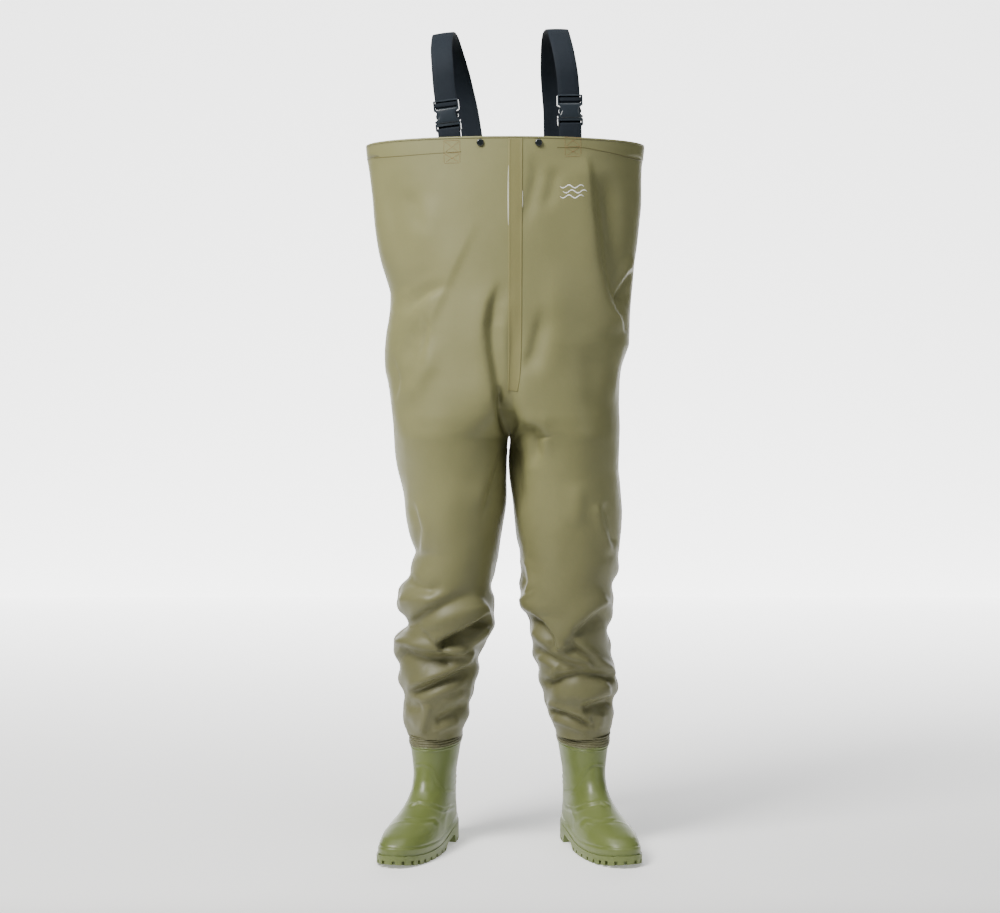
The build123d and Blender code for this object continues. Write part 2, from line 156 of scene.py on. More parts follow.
INNER = [(436, 508.6, 510.2), (452, 508.4, 510.4), (470, 507.8, 510.6), (480, 507, 511), (496, 506, 512.2), (512, 504, 513.4), (528, 501.6, 515.2), (544, 500, 518), (552, 498, 519.6), (560, 497, 521.4),
         (568, 495.6, 522), (576, 494, 521), (584, 493, 519.4), (592, 492, 519), (600, 491.8, 519.8), (606, 493.6, 523), (612, 495, 527.6), (616, 495.2, 528), (624, 495, 528.8), (632, 491.6, 530), (640, 485, 532),
         (648, 481, 534), (656, 480.4, 535), (664, 480, 536), (672, 477.4, 537.4), (680, 475, 540), (688, 473, 543), (696, 472, 545), (704, 471, 545.8), (712, 469, 547), (720, 466, 552), (728, 463, 555), (736, 461.6, 556.4), (744, 461, 557), (752, 461, 558.6)]
# height, middle front to back, half depth, squareness, in millimetres
DEPTH = [(1300, 22, 132, 2.0), (1200, 24, 138, 2.0), (1110, 26, 142, 2.05), (1036, 28, 146, 2.1), (976, 28, 147.5, 2.15), (916, 28, 147.5, 2.2), (857, 28, 147.5, 2.2),
         (800, 28.5, 145.5, 2.15), (772, 30, 143, 2.1), (738, 30, 136, 2.05), (690, 30, 128, 2.05), (630, 28, 120, 2.05), (570, 26, 112, 2.0), (510, 24, 105, 2.0),
         (460, 23, 102, 2.0), (400, 26, 97, 2.0), (345, 31, 92, 2.0), (290, 35, 86, 2.0), (240, 40, 77, 2.0), (206, 43, 68.5, 2.0), (196, 43.5, 66, 2.0)]
Z_TOP, Z_END = 1.300, 0.2
Z_CROTCH = 0.757
ROWS, COLS = 350, 216
zs = np.linspace(Z_TOP, Z_END, ROWS)
dz = np.array([d[0] for d in DEPTH]) / 1000
CY = curve_through(dz, [d[1] / 1000 for d in DEPTH], zs)
HB = curve_through(dz, [d[2] / 1000 for d in DEPTH], zs)
SQ = curve_through(dz, [d[3] for d in DEPTH], zs)

row_py = PY0 - FOC * (zs - CAM_Z) / (CY - CAM_Y)          # the silhouette lies about at the middle depth
out_r = x_at(curve_through([t[0] for t in TORSO], [t[1] for t in TORSO], row_py), CY)
out_l = x_at(curve_through([t[0] for t in TORSO], [t[2] for t in TORSO], row_py), CY)
in_r = x_at(curve_through([t[0] for t in INNER], [t[1] for t in INNER], row_py), CY)
in_l = x_at(curve_through([t[0] for t in INNER], [t[2] for t in INNER], row_py), CY)


def half_garment(side):
    """Grid of points from the front centre seam round the outer side to the back centre seam; below the crotch both ends meet on the inside leg."""
    sgn = -1.0 if side == "right" else 1.0
    outer = (out_r if side == "right" else out_l) * sgn          # positive outwards
    inner = (in_r if side == "right" else in_l) * sgn
    P = np.zeros((ROWS, COLS, 3))
    for i, z in enumerate(zs):
        o = outer[i]
        if z >= 1.06:
            inn = -o
        elif z > Z_CROTCH:
            t = (z - Z_CROTCH) / (1.06 - Z_CROTCH)
            inn = 0.0 - o * (1 - (1 - t ** 1.3) ** 4)
        else:
            inn = inner[i]
        cx, a = (o + inn) / 2, (o - inn) / 2
        n = SQ[i]
        # angle 0 is the innermost point, going round by the front (-y)
        if inn < -1e-6:
            c0 = -cx / a                                        # the mid-plane in units of the half width
            t0 = math.acos(np.clip(math.copysign(abs(-c0) ** (n / 2), -c0), -1, 1))
        else:
            t0 = 0.0
        th = np.linspace(t0, 2 * math.pi - t0, 720)
        c, s = np.cos(th), np.sin(th)
        x = cx - a * np.sign(c) * np.abs(c) ** (2 / n)
        y = CY[i] - HB[i] * np.sign(s) * np.abs(s) ** (2 / n)
        if inn < -1e-6:
            x[0] = x[-1] = 0.0
        ln = np.concatenate([[0], np.cumsum(np.hypot(np.diff(x), np.diff(y)))])
        u = np.linspace(0, ln[-1], COLS)
        P[i, :, 0] = sgn * np.interp(u, ln, x)
        P[i, :, 1] = np.interp(u, ln, y)
        P[i, :, 2] = z
    return P


def normals(P, side, closed_from):
    """Outward normals of a half-garment grid."""
    du = np.gradient(P, axis=1)
    # below the crotch the grid closes on itself
    du[closed_from:, 0] = (P[closed_from:, 1] - P[closed_from:, -2]) / 2
    du[closed_from:, -1] = du[closed_from:, 0]
    dv = np.gradient(P, axis=0)
    n = np.cross(du, dv)
    if side == "left":
        n = -n
    n = n / (np.linalg.norm(n, axis=-1, keepdims=True) + 1e-12)
    return n


CLOSED = int(np.argmax(zs <= Z_CROTCH))
BASE = {s: half_garment(s) for s in ("right", "left")}
for s in BASE:
    n = normals(BASE[s], s, CLOSED)
    mid = COLS // 2
    if n[50, mid, 0] * (-1 if s == "right" else 1) < 0:
        print("normals of", s, "point inwards")

# ------------------------------------------------------------------ folds
# Each fold: points (row, column of the front view), height in mm (negative is a valley), soft width on each side
# (left of the direction of travel first), and how quickly the ends fade.


def stroke_field(px, py, pts, amp, w_left, w_right, power=2.0, taper=(0.25, 0.25), amps=None):
    pts = np.asarray(pts, float)
    seg = np.diff(pts, axis=0)
    ln = np.hypot(seg[:, 0], seg[:, 1])
    cum = np.concatenate([[0], np.cumsum(ln)])
    best = np.full(px.shape, 1e9)
    where = np.zeros(px.shape)
    sgn = np.zeros(px.shape)
    for k in range(len(seg)):
        dx, dy = px - pts[k, 0], py - pts[k, 1]
        t = np.clip((dx * seg[k, 0] + dy * seg[k, 1]) / ln[k] ** 2, 0, 1)
        ex, ey = dx - t * seg[k, 0], dy - t * seg[k, 1]
        d = np.hypot(ex, ey)
        near = d < best
        best = np.where(near, d, best)
        where = np.where(near, (cum[k] + t * ln[k]) / cum[-1], where)
        cr = seg[k, 0] * dy - seg[k, 1] * dx
        sgn = np.where(near, np.sign(cr), sgn)                 # image y runs down: positive is right of travel
    w = np.where(sgn > 0, w_right, w_left)
    f = np.exp(-(best / w) ** power)
    a = amp
    if amps is not None:
        a = np.interp(where, np.linspace(0, 1, len(amps)), amps)
    ends = sstep(0, max(taper[0], 1e-3), where + 1e-3) * sstep(0, max(taper[1], 1e-3), 1 - where + 1e-3)
    return a * f * ends


FOLDS = []


def fold(pts, amp, wl, wr=None, power=2.0, taper=(0.25, 0.25), amps=None):
    FOLDS.append((pts, amp, wl, wl if wr is None else wr, power, taper, amps))


# --- bib: drawn from the front view, from top to bottom
fold([(452, 281), (440, 286), (426, 292), (412, 303), (400, 318)], -10, 6, 17, 2, (0.5, 0.4))          # valley under the chest on the right side
fold([(450, 273), (440, 278), (424, 285), (404, 296), (392, 306)], 4, 14, 8, 2, (0.5, 0.3))
fold([(478, 212), (462, 246), (447, 279), (430, 318), (424, 350)], 3.5, 6, 26, 2, (0.4, 0.3))  # soft break line
fold([(432, 330), (428, 366), (412, 392), (399, 410)], 5, 9, 10, 2, (0.4, 0.3))
fold([(418, 318), (412, 342), (404, 366)], -4, 8, 8, 2, (0.4, 0.4))
fold([(424, 311), (427, 326), (424, 345), (416.5, 366)], -3, 3.2, 3.6, 1.6, (0.3, 0.4))
fold([(503, 276), (493, 306), (490, 326), (492, 350), (498, 384), (503, 412), (508, 436)], -12, 10, 4.5, 2, (0.3, 0.05))   # deep valley beside the centre tape
fold([(497, 270), (483, 306), (479, 340), (486, 384), (497, 425)], 4, 6, 14, 2, (0.35, 0.2))
fold([(512, 300), (513, 350), (512, 400), (510, 436)], -7, 9, 7, 2, (0.4, 0.05))
fold([(546, 300), (541, 326), (535, 350), (523, 378)], -6, 12, 7, 2, (0.4, 0.3))
fold([(560, 250), (556, 300), (549, 350), (538, 400)], 3.5, 18, 12, 2, (0.4, 0.4))
fold([(533, 150), (536, 176), (529, 206), (521, 232)], -3.5, 8, 6, 2, (0.3, 0.4))
fold([(557, 164), (552, 190), (544, 216)], -3, 7, 7, 2, (0.3, 0.4))
fold([(583, 148), (590, 200), (596, 258), (602, 281), (614, 311), (626, 335)], 7, 6, 20, 2, (0.15, 0.1))   # front edge of the flank
fold([(600, 170), (607, 220), (611, 262), (617, 290), (624, 316)], -15, 13, 9, 2, (0.25, 0.15))
fold([(636, 252), (626, 276), (617, 296), (614, 304)], 5, 4.5, 5, 2, (0.2, 0.2))
fold([(634, 268), (625, 288), (620, 303)], -5, 3, 3, 2, (0.2, 0.2))
fold([(615, 304), (622, 318), (628, 334)], -4, 4, 2.5, 2, (0.2, 0.15))
fold([(620, 340), (612, 372), (608, 410)], 4, 9, 14, 2, (0.35, 0.4))
fold([(590, 330), (594, 380), (596, 430)], -2.5, 12, 12, 2, (0.4, 0.4))
fold([(386, 170), (392, 210), (398, 250), (404, 285)], -3.5, 14, 8, 2, (0.4, 0.4))
fold([(374, 160), (380, 200), (388, 250), (398, 282)], 3, 10, 10, 2, (0.3, 0.4))
fold([(430, 190), (428, 230), (424, 262)], 2.5, 14, 12, 2, (0.4, 0.4))
fold([(404, 186), (414, 206), (420, 236)], -2.5, 10, 10, 2, (0.4, 0.4))
fold([(390, 352), (398, 380), (394, 404)], -3, 3, 6, 2, (0.3, 0.3))
fold([(399, 407), (408, 440), (410, 470)], 3, 12, 8, 2, (0.4, 0.4))
# --- crotch
fold([(497, 384), (503, 415), (509, 440), (508, 470)], -14, 5, 4, 2, (0.2, 0.3))
fold([(516, 430), (524, 424), (533, 421.5), (541, 425), (545, 434), (545, 447), (542, 462)], 5.5, 9, 6, 2, (0.35, 0.4))
fold([(515, 437), (522, 433), (529, 433), (535, 439), (535, 452), (529, 470)], -11, 6, 8, 2, (0.2, 0.4))
fold([(512, 440), (516, 462), (518, 490), (520, 520)], -8, 7, 5, 2, (0.15, 0.4))
fold([(506, 440), (497, 470), (488, 500), (479.5, 526)], -3.2, 2.2, 5, 1.6, (0.2, 0.3))
fold([(500, 440), (488, 478), (476, 516)], 3.5, 4, 10, 2, (0.25, 0.3))
fold([(470, 360), (478, 400), (484, 440), (474, 480)], 3, 14, 16, 2, (0.4, 0.4))
fold([(449, 470), (446, 520), (444, 560)], 3, 14, 14, 2, (0.4, 0.4))
# --- viewer's left leg, thigh and knee
fold([(412, 500), (419, 528), (417, 553)], -4, 2.5, 4, 2, (0.25, 0.1))
fold([(417, 500), (425, 530), (422, 560)], 3, 6, 3.5, 2, (0.25, 0.25))
fold([(404, 578), (416, 586), (430, 590), (446, 584)], -6, 6, 5, 2, (0.15, 0.4))
fold([(398, 600), (414, 600), (430, 598), (440, 592)], 6, 6, 8, 2, (0.1, 0.4))
fold([(409, 629), (421, 619), (440, 607), (462, 597), (480, 588)], -6, 6, 7, 2, (0.15, 0.35))   # long valley rising to the inside of the knee
fold([(407, 622), (416, 612), (434, 601), (456, 590)], 4, 6, 6, 2, (0.2, 0.4))
fold([(412, 640), (420, 630), (438, 620), (460, 612), (480, 604), (492, 598)], 6, 9, 8, 2, (0.15, 0.25))
fold([(434, 644), (447, 633), (465, 623.5), (478, 617), (491, 608)], 9, 15, 2.6, 2, (0.08, 0.1))    # lip over the dark pocket
fold([(437, 646.5), (452, 640), (468, 633), (480, 626), (491, 615)], -19, 4.2, 6, 2, (0.08, 0.15))
fold([(441, 650), (456, 648.5), (466, 646), (479, 637), (492, 624)], 7, 3, 5.5, 2, (0.15, 0.15))
fold([(394, 641), (408, 644.5), (424, 648.5), (440, 651.3), (460, 652), (468, 649)], 7, 9, 2.4, 2, (0.03, 0.1))   # overhang with a bowl under it
fold([(398, 650), (410, 656), (425, 661), (444, 660), (458, 656)], -14, 5.5, 9, 2, (0.1, 0.2))
fold([(466, 647), (470.5, 653), (466, 662), (452, 670), (432, 678), (414, 687), (406, 692)], 8, 4.5, 8, 2, (0.12, 0.12))
fold([(408, 692), (426, 687), (446, 679), (462, 672), (478, 664)], -10, 4, 5.5, 2, (0.1, 0.2))
fold([(410, 700), (424, 699), (440, 692), (456, 685), (472, 676)], 6, 5, 6, 2, (0.2, 0.3))
fold([(405, 704), (414, 707), (424, 704)], -5, 5, 5, 2, (0.2, 0.3))
fold([(430, 702), (427, 712), (424, 722), (421, 736)], 6, 4.5, 5, 2, (0.2, 0.15))
fold([(434, 724), (448, 716), (460, 709), (472, 702)], -8, 5, 5, 2, (0.15, 0.25))
fold([(438, 706), (452, 699), (470, 690)], 4, 4, 4, 2, (0.3, 0.3))
fold([(432, 734), (446, 726), (462, 718)], 5, 4, 4.5, 2, (0.2, 0.25))
fold([(476, 668), (472, 686), (468, 704)], 3.5, 4, 4, 2, (0.2, 0.3))
fold([(405, 716), (410, 728), (414, 738)], -3, 4, 4, 2, (0.3, 0.3))
# --- viewer's right leg
fold([(577, 478), (578, 505), (577, 532)], 4.5, 8, 10, 2, (0.4, 0.4))
fold([(560, 500), (556, 540), (552, 590)], 3, 12, 14, 2, (0.4, 0.3))
fold([(596, 502), (601, 526), (612, 556)], 4, 3, 6, 2, (0.2, 0.2))
fold([(604, 500), (610, 522), (616, 548)], -5, 3.5, 3.5, 2, (0.25, 0.2))
fold([(522, 556), (528, 566), (530.5, 582), (524, 598)], 4, 5, 3, 2, (0.2, 0.2))
fold([(520, 566), (524, 580), (520, 594)], -5, 3.2, 3, 2, (0.2, 0.2))
fold([(519.5, 596), (524, 605), (537, 612), (547, 622), (556, 635), (561, 650)], 8, 10, 2.4, 2, (0.05, 0.06))   # left arm of the V
fold([(561, 650), (568, 637), (577, 625), (590, 612), (611, 598)], 7, 14, 3.4, 2, (0.06, 0.12))          # right arm of the V
fold([(528, 616), (542, 624), (552, 638), (558, 652)], -9, 3.4, 5, 2, (0.1, 0.15))
fold([(566, 645), (576, 632), (590, 620), (608, 608)], -7, 4, 9, 2, (0.1, 0.2))
fold([(529, 628), (542, 639), (556, 648), (570, 655), (586, 661), (596, 668)], 6.5, 4, 5, 2, (0.1, 0.15))
fold([(564, 643), (574, 637.5), (584, 648), (598, 661), (618, 675)], 7, 5, 4.5, 2, (0.15, 0.05))
fold([(566, 650), (578, 650), (590, 658), (600, 668)], -6, 4, 4, 2, (0.2, 0.3))
fold([(532, 646), (544, 654), (556, 662), (580, 668), (596, 671)], -7, 4, 5, 2, (0.1, 0.25))
fold([(534, 655), (546, 661), (555.5, 667), (554, 675), (543, 682)], 5.5, 3.5, 4, 2, (0.15, 0.2))
fold([(542, 683), (558, 679), (578, 675), (598, 674.5), (617, 676)], -11, 3.4, 6.5, 2, (0.1, 0.08))
fold([(546, 694), (566, 697), (590, 694), (612, 684)], 6, 8, 7, 2, (0.2, 0.1))
fold([(582, 711), (592, 706), (604, 702.5), (613, 700)], -9, 4, 5.5, 2, (0.1, 0.12))
fold([(576, 704), (586, 699), (600, 695), (612, 691)], 4, 5, 4, 2, (0.2, 0.15))
fold([(545, 702), (556, 707), (572, 713), (586, 718), (597, 725)], 4, 3.6, 3, 2, (0.1, 0.12))
fold([(548, 710), (562, 714), (578, 720), (592, 728)], -8, 3.4, 4, 2, (0.1, 0.2))
fold([(549, 717), (564, 722), (580, 729), (592, 735)], 5, 3, 3.6, 2, (0.15, 0.2))
fold([(600, 712), (600, 722), (597, 732)], 5, 5, 4, 2, (0.2, 0.2))
fold([(590, 716), (594, 722), (592, 730)], -4, 3, 3, 2, (0.2, 0.3))


def fold_sum(px, py, folds):
    total = np.zeros(px.shape)
    for pts, amp, wl, wr, power, taper, amps in folds:
        reach = 3.2 * max(wl, wr)
        pa = np.asarray(pts, float)
        m = (px > pa[:, 0].min() - reach) & (px < pa[:, 0].max() + reach) & (py > pa[:, 1].min() - reach) & (py < pa[:, 1].max() + reach)
        if m.any():
            total[m] += stroke_field(px[m], py[m], pts, amp, wl, wr, power, taper, amps)
    return total


GARMENT = {}
NORMAL = {}
for side in ("right", "left"):
    P = BASE[side]
    n = normals(P, side, CLOSED)
    px, py = to_px(P)
    facing = sstep(0.03, 0.42, -n[..., 1])
    front = fold_sum(px, py, FOLDS)
    # the back is not seen in the front view: it carries folds of the same family, mirrored and shifted
    bpx, bpy_ = 2 * PX0 - px + 3.0, py + 7.0
    back_facing = sstep(0.03, 0.5, n[..., 1])
    back = fold_sum(bpx, bpy_, FOLDS) * 0.72
    D = (front * facing + back * back_facing) / 1000
    # waves that wrap round the outer and inner sides of the legs
    z = P[..., 2]
    ang = np.arctan2(P[..., 1] - CY[:, None], P[..., 0] - (P[..., 0].mean(1))[:, None])
    low = sstep(0.60, 0.47, z) * sstep(0.205, 0.27, z)
    ph = 0.9 if side == "right" else 2.3
    wave = (np.sin(z * 82 + 1.6 * np.sin(ang * 2 + ph) + ph) * 0.5 + 0.35 * np.sin(z * 141 - 2.1 * np.cos(ang + ph) + 1.7 * ph)) * 0.0055
    sideways = 1 - np.clip(facing + back_facing, 0, 1)
    D += wave * low * sideways
    mid_z = np.exp(-((z - 0.74) / 0.16) ** 2)
    D += (np.sin(z * 31 + 2 * np.sin(ang + ph)) * 0.003) * mid_z * sideways
    keep = sstep(1.300, 1.262, z) * sstep(0.2, 0.232, z)
    D *= np.clip(keep + 0.12, 0, 1)
    Q = P + n * D[..., None]
    # the seams stay on the mid-plane, and the inside-leg ends meet
    Q[:CLOSED, 0, 0] = Q[:CLOSED, -1, 0] = 0
    Q[CLOSED:, -1] = Q[CLOSED:, 0]
    GARMENT[side] = Q
    NORMAL[side] = normals(Q, side, CLOSED)

# ------------------------------------------------------------------ garment mesh
S_FAB = 0.0013


def weld_garment():
    verts, faces, uvs = [], [], []
    index = {}
    count = 0
    for side in ("right", "left"):
        Q = GARMENT[side]
        ids = np.arange(ROWS * COLS).reshape(ROWS, COLS) + count
        count += ROWS * COLS
        index[side] = ids
        verts.append(Q.reshape(-1, 3))
    ids_r, ids_l = index["right"], index["left"]
    ids_r, ids_l = ids_r.copy(), ids_l.copy()
    ids_l[:CLOSED, 0] = ids_r[:CLOSED, 0]
    ids_l[:CLOSED, -1] = ids_r[:CLOSED, -1]
    for ids in (ids_r, ids_l):
        ids[CLOSED:, -1] = ids[CLOSED:, 0]
    V = np.concatenate(verts)
    # the shared seam points take the mean of the two sides
    a = GARMENT["right"][:CLOSED, 0]
    b = GARMENT["left"][:CLOSED, 0]
    V[ids_r[:CLOSED, 0]] = (a + b) / 2
    a = GARMENT["right"][:CLOSED, -1]
    b = GARMENT["left"][:CLOSED, -1]
    V[ids_r[:CLOSED, -1]] = (a + b) / 2
    for ids, flip in ((ids_r, False), (ids_l, True)):
        q = np.stack([ids[:-1, :-1], ids[:-1, 1:], ids[1:, 1:], ids[1:, :-1]], -1).reshape(-1, 4)
        faces.append(q[:, ::-1] if flip else q)
    F = np.concatenate(faces)
    used = np.unique(F)
    remap = -np.ones(len(V), int)
    remap[used] = np.arange(len(used))
    return V[used], remap[F], ids_r, ids_l


GV, GF, IDR, IDL = weld_garment()
# the crotch is eased where the two legs part
def relax(V, F, centre, radius, n):
    import collections
    e = np.concatenate([F[:, [0, 1]], F[:, [1, 2]], F[:, [2, 3]], F[:, [3, 0]]])
    e = e[e[:, 0] != e[:, 1]]
    w = np.exp(-((V - centre) ** 2 / np.array(radius) ** 2).sum(1))
    for _ in range(n):
        acc = np.zeros_like(V)
        cnt = np.zeros(len(V))
        np.add.at(acc, e[:, 0], V[e[:, 1]]); np.add.at(acc, e[:, 1], V[e[:, 0]])
        np.add.at(cnt, e[:, 0], 1); np.add.at(cnt, e[:, 1], 1)
        V = V + (acc / np.maximum(cnt, 1)[:, None] - V) * (0.5 * w)[:, None]
    return V


GV = relax(GV, GF, np.array([0, 0.03, 0.765]), (0.06, 0.16, 0.05), 24)

# ------------------------------------------------------------------ materials
def new_mat(name):
    m = bpy.data.materials.new(name)
    m.use_nodes = True
    nt = m.node_tree
    bsdf = nt.nodes["Principled BSDF"]
    return m, nt, bsdf


def link(nt, a, b):
    nt.links.new(a, b)


def node(nt, kind, **values):
    n = nt.nodes.new(kind)
    for k, v in values.items():
        if k in n.inputs:
            n.inputs[k].default_value = v
        else:
            setattr(n, k, v)
    return n


def ramp(nt, fac, stops):
    r = nt.nodes.new("ShaderNodeValToRGB")
    e = r.color_ramp.elements
    while len(e) < len(stops):
        e.new(0.5)
    for k, (pos, col) in enumerate(stops):
        e[k].position = pos
        e[k].color = (*col, 1.0)
    link(nt, fac, r.inputs["Fac"])
    return r.outputs["Color"]


def coated_fabric(name, base, dark, light, rough=0.46, weave=0.10, coarse=0.5, low=0.62):
    """Smooth PVC-coated knit: faint grain of the knit showing through the coating, cloudy colour, soft satin; painted
    shade darkens the colour towards the bottom, down to the factor low.
    """
    m, nt, b = new_mat(name)
    tc = nt.nodes.new("ShaderNodeTexCoord")
    big = node(nt, "ShaderNodeTexNoise", Scale=5.5, Detail=4.0, Roughness=0.55)
    link(nt, tc.outputs["Object"], big.inputs["Vector"])
    col = ramp(nt, big.outputs["Fac"], [(0.30, dark), (0.5, base), (0.72, light)])
    fine = node(nt, "ShaderNodeTexNoise", Scale=420.0, Detail=3.0, Roughness=0.6)
    link(nt, tc.outputs["Object"], fine.inputs["Vector"])
    mix = nt.nodes.new("ShaderNodeMix")
    mix.data_type = "RGBA"
    mix.blend_type = "MULTIPLY"
    mix.inputs[0].default_value = 0.12
    link(nt, col, mix.inputs[6])
    link(nt, fine.outputs["Color"], mix.inputs[7])
    # painted shade: the colour is multiplied darker towards the bottom, so the lower legs are a little darker than the
    # bib, standing in for the light from above falling off
    pos = nt.nodes.new("ShaderNodeSeparateXYZ")
    link(nt, tc.outputs["Object"], pos.inputs[0])
    painted_shade_ramp = nt.nodes.new("ShaderNodeMapRange")
    painted_shade_ramp.interpolation_type = "SMOOTHSTEP"
    painted_shade_ramp.inputs["From Min"].default_value, painted_shade_ramp.inputs["From Max"].default_value = 0.33, 0.70
    painted_shade_ramp.inputs["To Min"].default_value, painted_shade_ramp.inputs["To Max"].default_value = 0.0, 1.0
    link(nt, pos.outputs["Z"], painted_shade_ramp.inputs["Value"])
    painted_shade_mix = nt.nodes.new("ShaderNodeMix")
    painted_shade_mix.data_type = "RGBA"
    painted_shade_mix.blend_type = "MULTIPLY"
    painted_shade_mix.inputs[0].default_value = 1.0
    link(nt, mix.outputs[2], painted_shade_mix.inputs[6])
    link(nt, ramp(nt, painted_shade_ramp.outputs["Result"], [(0.0, (low, low, low * 1.04)), (1.0, (1.0, 1.0, 1.0))]), painted_shade_mix.inputs[7])
    link(nt, painted_shade_mix.outputs[2], b.inputs["Base Color"])
    # scuffs: slightly glossier or duller patches
    sc = node(nt, "ShaderNodeTexNoise", Scale=14.0, Detail=6.0, Roughness=0.7)
    link(nt, tc.outputs["Object"], sc.inputs["Vector"])
    mr = nt.nodes.new("ShaderNodeMapRange")
    mr.inputs["From Min"].default_value, mr.inputs["From Max"].default_value = 0.3, 0.7
    mr.inputs["To Min"].default_value, mr.inputs["To Max"].default_value = rough - 0.04, rough + 0.07
    link(nt, sc.outputs["Fac"], mr.inputs["Value"])
    link(nt, mr.outputs["Result"], b.inputs["Roughness"])
    # knit grain
    sep = nt.nodes.new("ShaderNodeSeparateXYZ")
    link(nt, tc.outputs["Object"], sep.inputs[0])
    waves = []
    for axis, scale in (("X", 2600.0), ("Z", 2600.0)):
        mul = node(nt, "ShaderNodeMath", operation="MULTIPLY")
        mul.inputs[1].default_value = scale
        link(nt, sep.outputs[axis], mul.inputs[0])
        sn = node(nt, "ShaderNodeMath", operation="SINE")
        link(nt, mul.outputs[0], sn.inputs[0])
        waves.append(sn)
    pr = node(nt, "ShaderNodeMath", operation="MULTIPLY")
    link(nt, waves[0].outputs[0], pr.inputs[0])
    link(nt, waves[1].outputs[0], pr.inputs[1])
    b1 = node(nt, "ShaderNodeBump", Strength=weave, Distance=0.0003)
    link(nt, pr.outputs[0], b1.inputs["Height"])
    b2 = node(nt, "ShaderNodeBump", Strength=0.10, Distance=0.0006)
    link(nt, fine.outputs["Fac"], b2.inputs["Height"])
    link(nt, b1.outputs["Normal"], b2.inputs["Normal"])
    soft = node(nt, "ShaderNodeTexNoise", Scale=38.0, Detail=2.0)
    link(nt, tc.outputs["Object"], soft.inputs["Vector"])
    b3 = node(nt, "ShaderNodeBump", Strength=0.12 * coarse, Distance=0.004)
    link(nt, soft.outputs["Fac"], b3.inputs["Height"])
    link(nt, b2.outputs["Normal"], b3.inputs["Normal"])
    link(nt, b3.outputs["Normal"], b.inputs["Normal"])
    b.inputs["Specular IOR Level"].default_value = 0.3
    return m


def webbing_mat(name, base, light):
    """Woven elastic webbing: rows of short picks across, fine ribs along, from the strip's own coordinates in metres."""
    m, nt, b = new_mat(name)
    uv = nt.nodes.new("ShaderNodeUVMap")
    sep = nt.nodes.new("ShaderNodeSeparateXYZ")
    link(nt, uv.outputs[0], sep.inputs[0])

    def wave(axis, per_m, shift=None):
        mul = node(nt, "ShaderNodeMath", operation="MULTIPLY")
        mul.inputs[1].default_value = per_m * 2 * math.pi
        link(nt, sep.outputs[axis], mul.inputs[0])
        src = mul.outputs[0]
        if shift is not None:
            add = node(nt, "ShaderNodeMath", operation="ADD")
            link(nt, src, add.inputs[0])
            link(nt, shift, add.inputs[1])
            src = add.outputs[0]
        sn = node(nt, "ShaderNodeMath", operation="SINE")
        link(nt, src, sn.inputs[0])
        return sn.outputs[0]
    along = wave("X", 620.0)
    tilt = node(nt, "ShaderNodeMath", operation="MULTIPLY")
    tilt.inputs[1].default_value = 1.4
    link(nt, along, tilt.inputs[0])
    across = wave("Y", 480.0, tilt.outputs[0])
    s = node(nt, "ShaderNodeMath", operation="ADD")
    link(nt, along, s.inputs[0])
    link(nt, across, s.inputs[1])
    mr = nt.nodes.new("ShaderNodeMapRange")
    mr.inputs["From Min"].default_value, mr.inputs["From Max"].default_value = -2.0, 2.0
    link(nt, s.outputs[0], mr.inputs["Value"])
    link(nt, ramp(nt, mr.outputs["Result"], [(0.2, base), (0.9, light)]), b.inputs["Base Color"])
    bump = node(nt, "ShaderNodeBump", Strength=0.7, Distance=0.0004)
    link(nt, mr.outputs["Result"], bump.inputs["Height"])
    link(nt, bump.outputs["Normal"], b.inputs["Normal"])
    b.inputs["Roughness"].default_value = 0.72
    b.inputs["Specular IOR Level"].default_value = 0.18
    b.inputs["Sheen Weight"].default_value = 0.06
    b.inputs["Sheen Roughness"].default_value = 0.4
    return m


def moulded(name, base, dark, light, rough=0.3, grain=0.12, scale=260.0, coat=0.0, spec=0.5):
    """Injection-moulded plastic: fine grain, soft flow marks, slightly uneven gloss."""
    m, nt, b = new_mat(name)
    tc = nt.nodes.new("ShaderNodeTexCoord")
    big = node(nt, "ShaderNodeTexNoise", Scale=11.0, Detail=3.0)
    link(nt, tc.outputs["Object"], big.inputs["Vector"])
    link(nt, ramp(nt, big.outputs["Fac"], [(0.3, dark), (0.5, base), (0.7, light)]), b.inputs["Base Color"])
    g = node(nt, "ShaderNodeTexNoise", Scale=scale, Detail=4.0, Roughness=0.55)
    link(nt, tc.outputs["Object"], g.inputs["Vector"])
    bump = node(nt, "ShaderNodeBump", Strength=grain, Distance=0.0005)
    link(nt, g.outputs["Fac"], bump.inputs["Height"])
    sw = node(nt, "ShaderNodeTexNoise", Scale=24.0, Detail=2.0)
    link(nt, tc.outputs["Object"], sw.inputs["Vector"])
    bump2 = node(nt, "ShaderNodeBump", Strength=0.06, Distance=0.004)
    link(nt, sw.outputs["Fac"], bump2.inputs["Height"])
    link(nt, bump.outputs["Normal"], bump2.inputs["Normal"])
    link(nt, bump2.outputs["Normal"], b.inputs["Normal"])
    mr = nt.nodes.new("ShaderNodeMapRange")
    mr.inputs["From Min"].default_value, mr.inputs["From Max"].default_value = 0.3, 0.7
    mr.inputs["To Min"].default_value, mr.inputs["To Max"].default_value = rough - 0.05, rough + 0.08
    link(nt, sw.outputs["Fac"], mr.inputs["Value"])
    link(nt, mr.outputs["Result"], b.inputs["Roughness"])
    b.inputs["Specular IOR Level"].default_value = spec
    b.inputs["Coat Weight"].default_value = coat
    return m


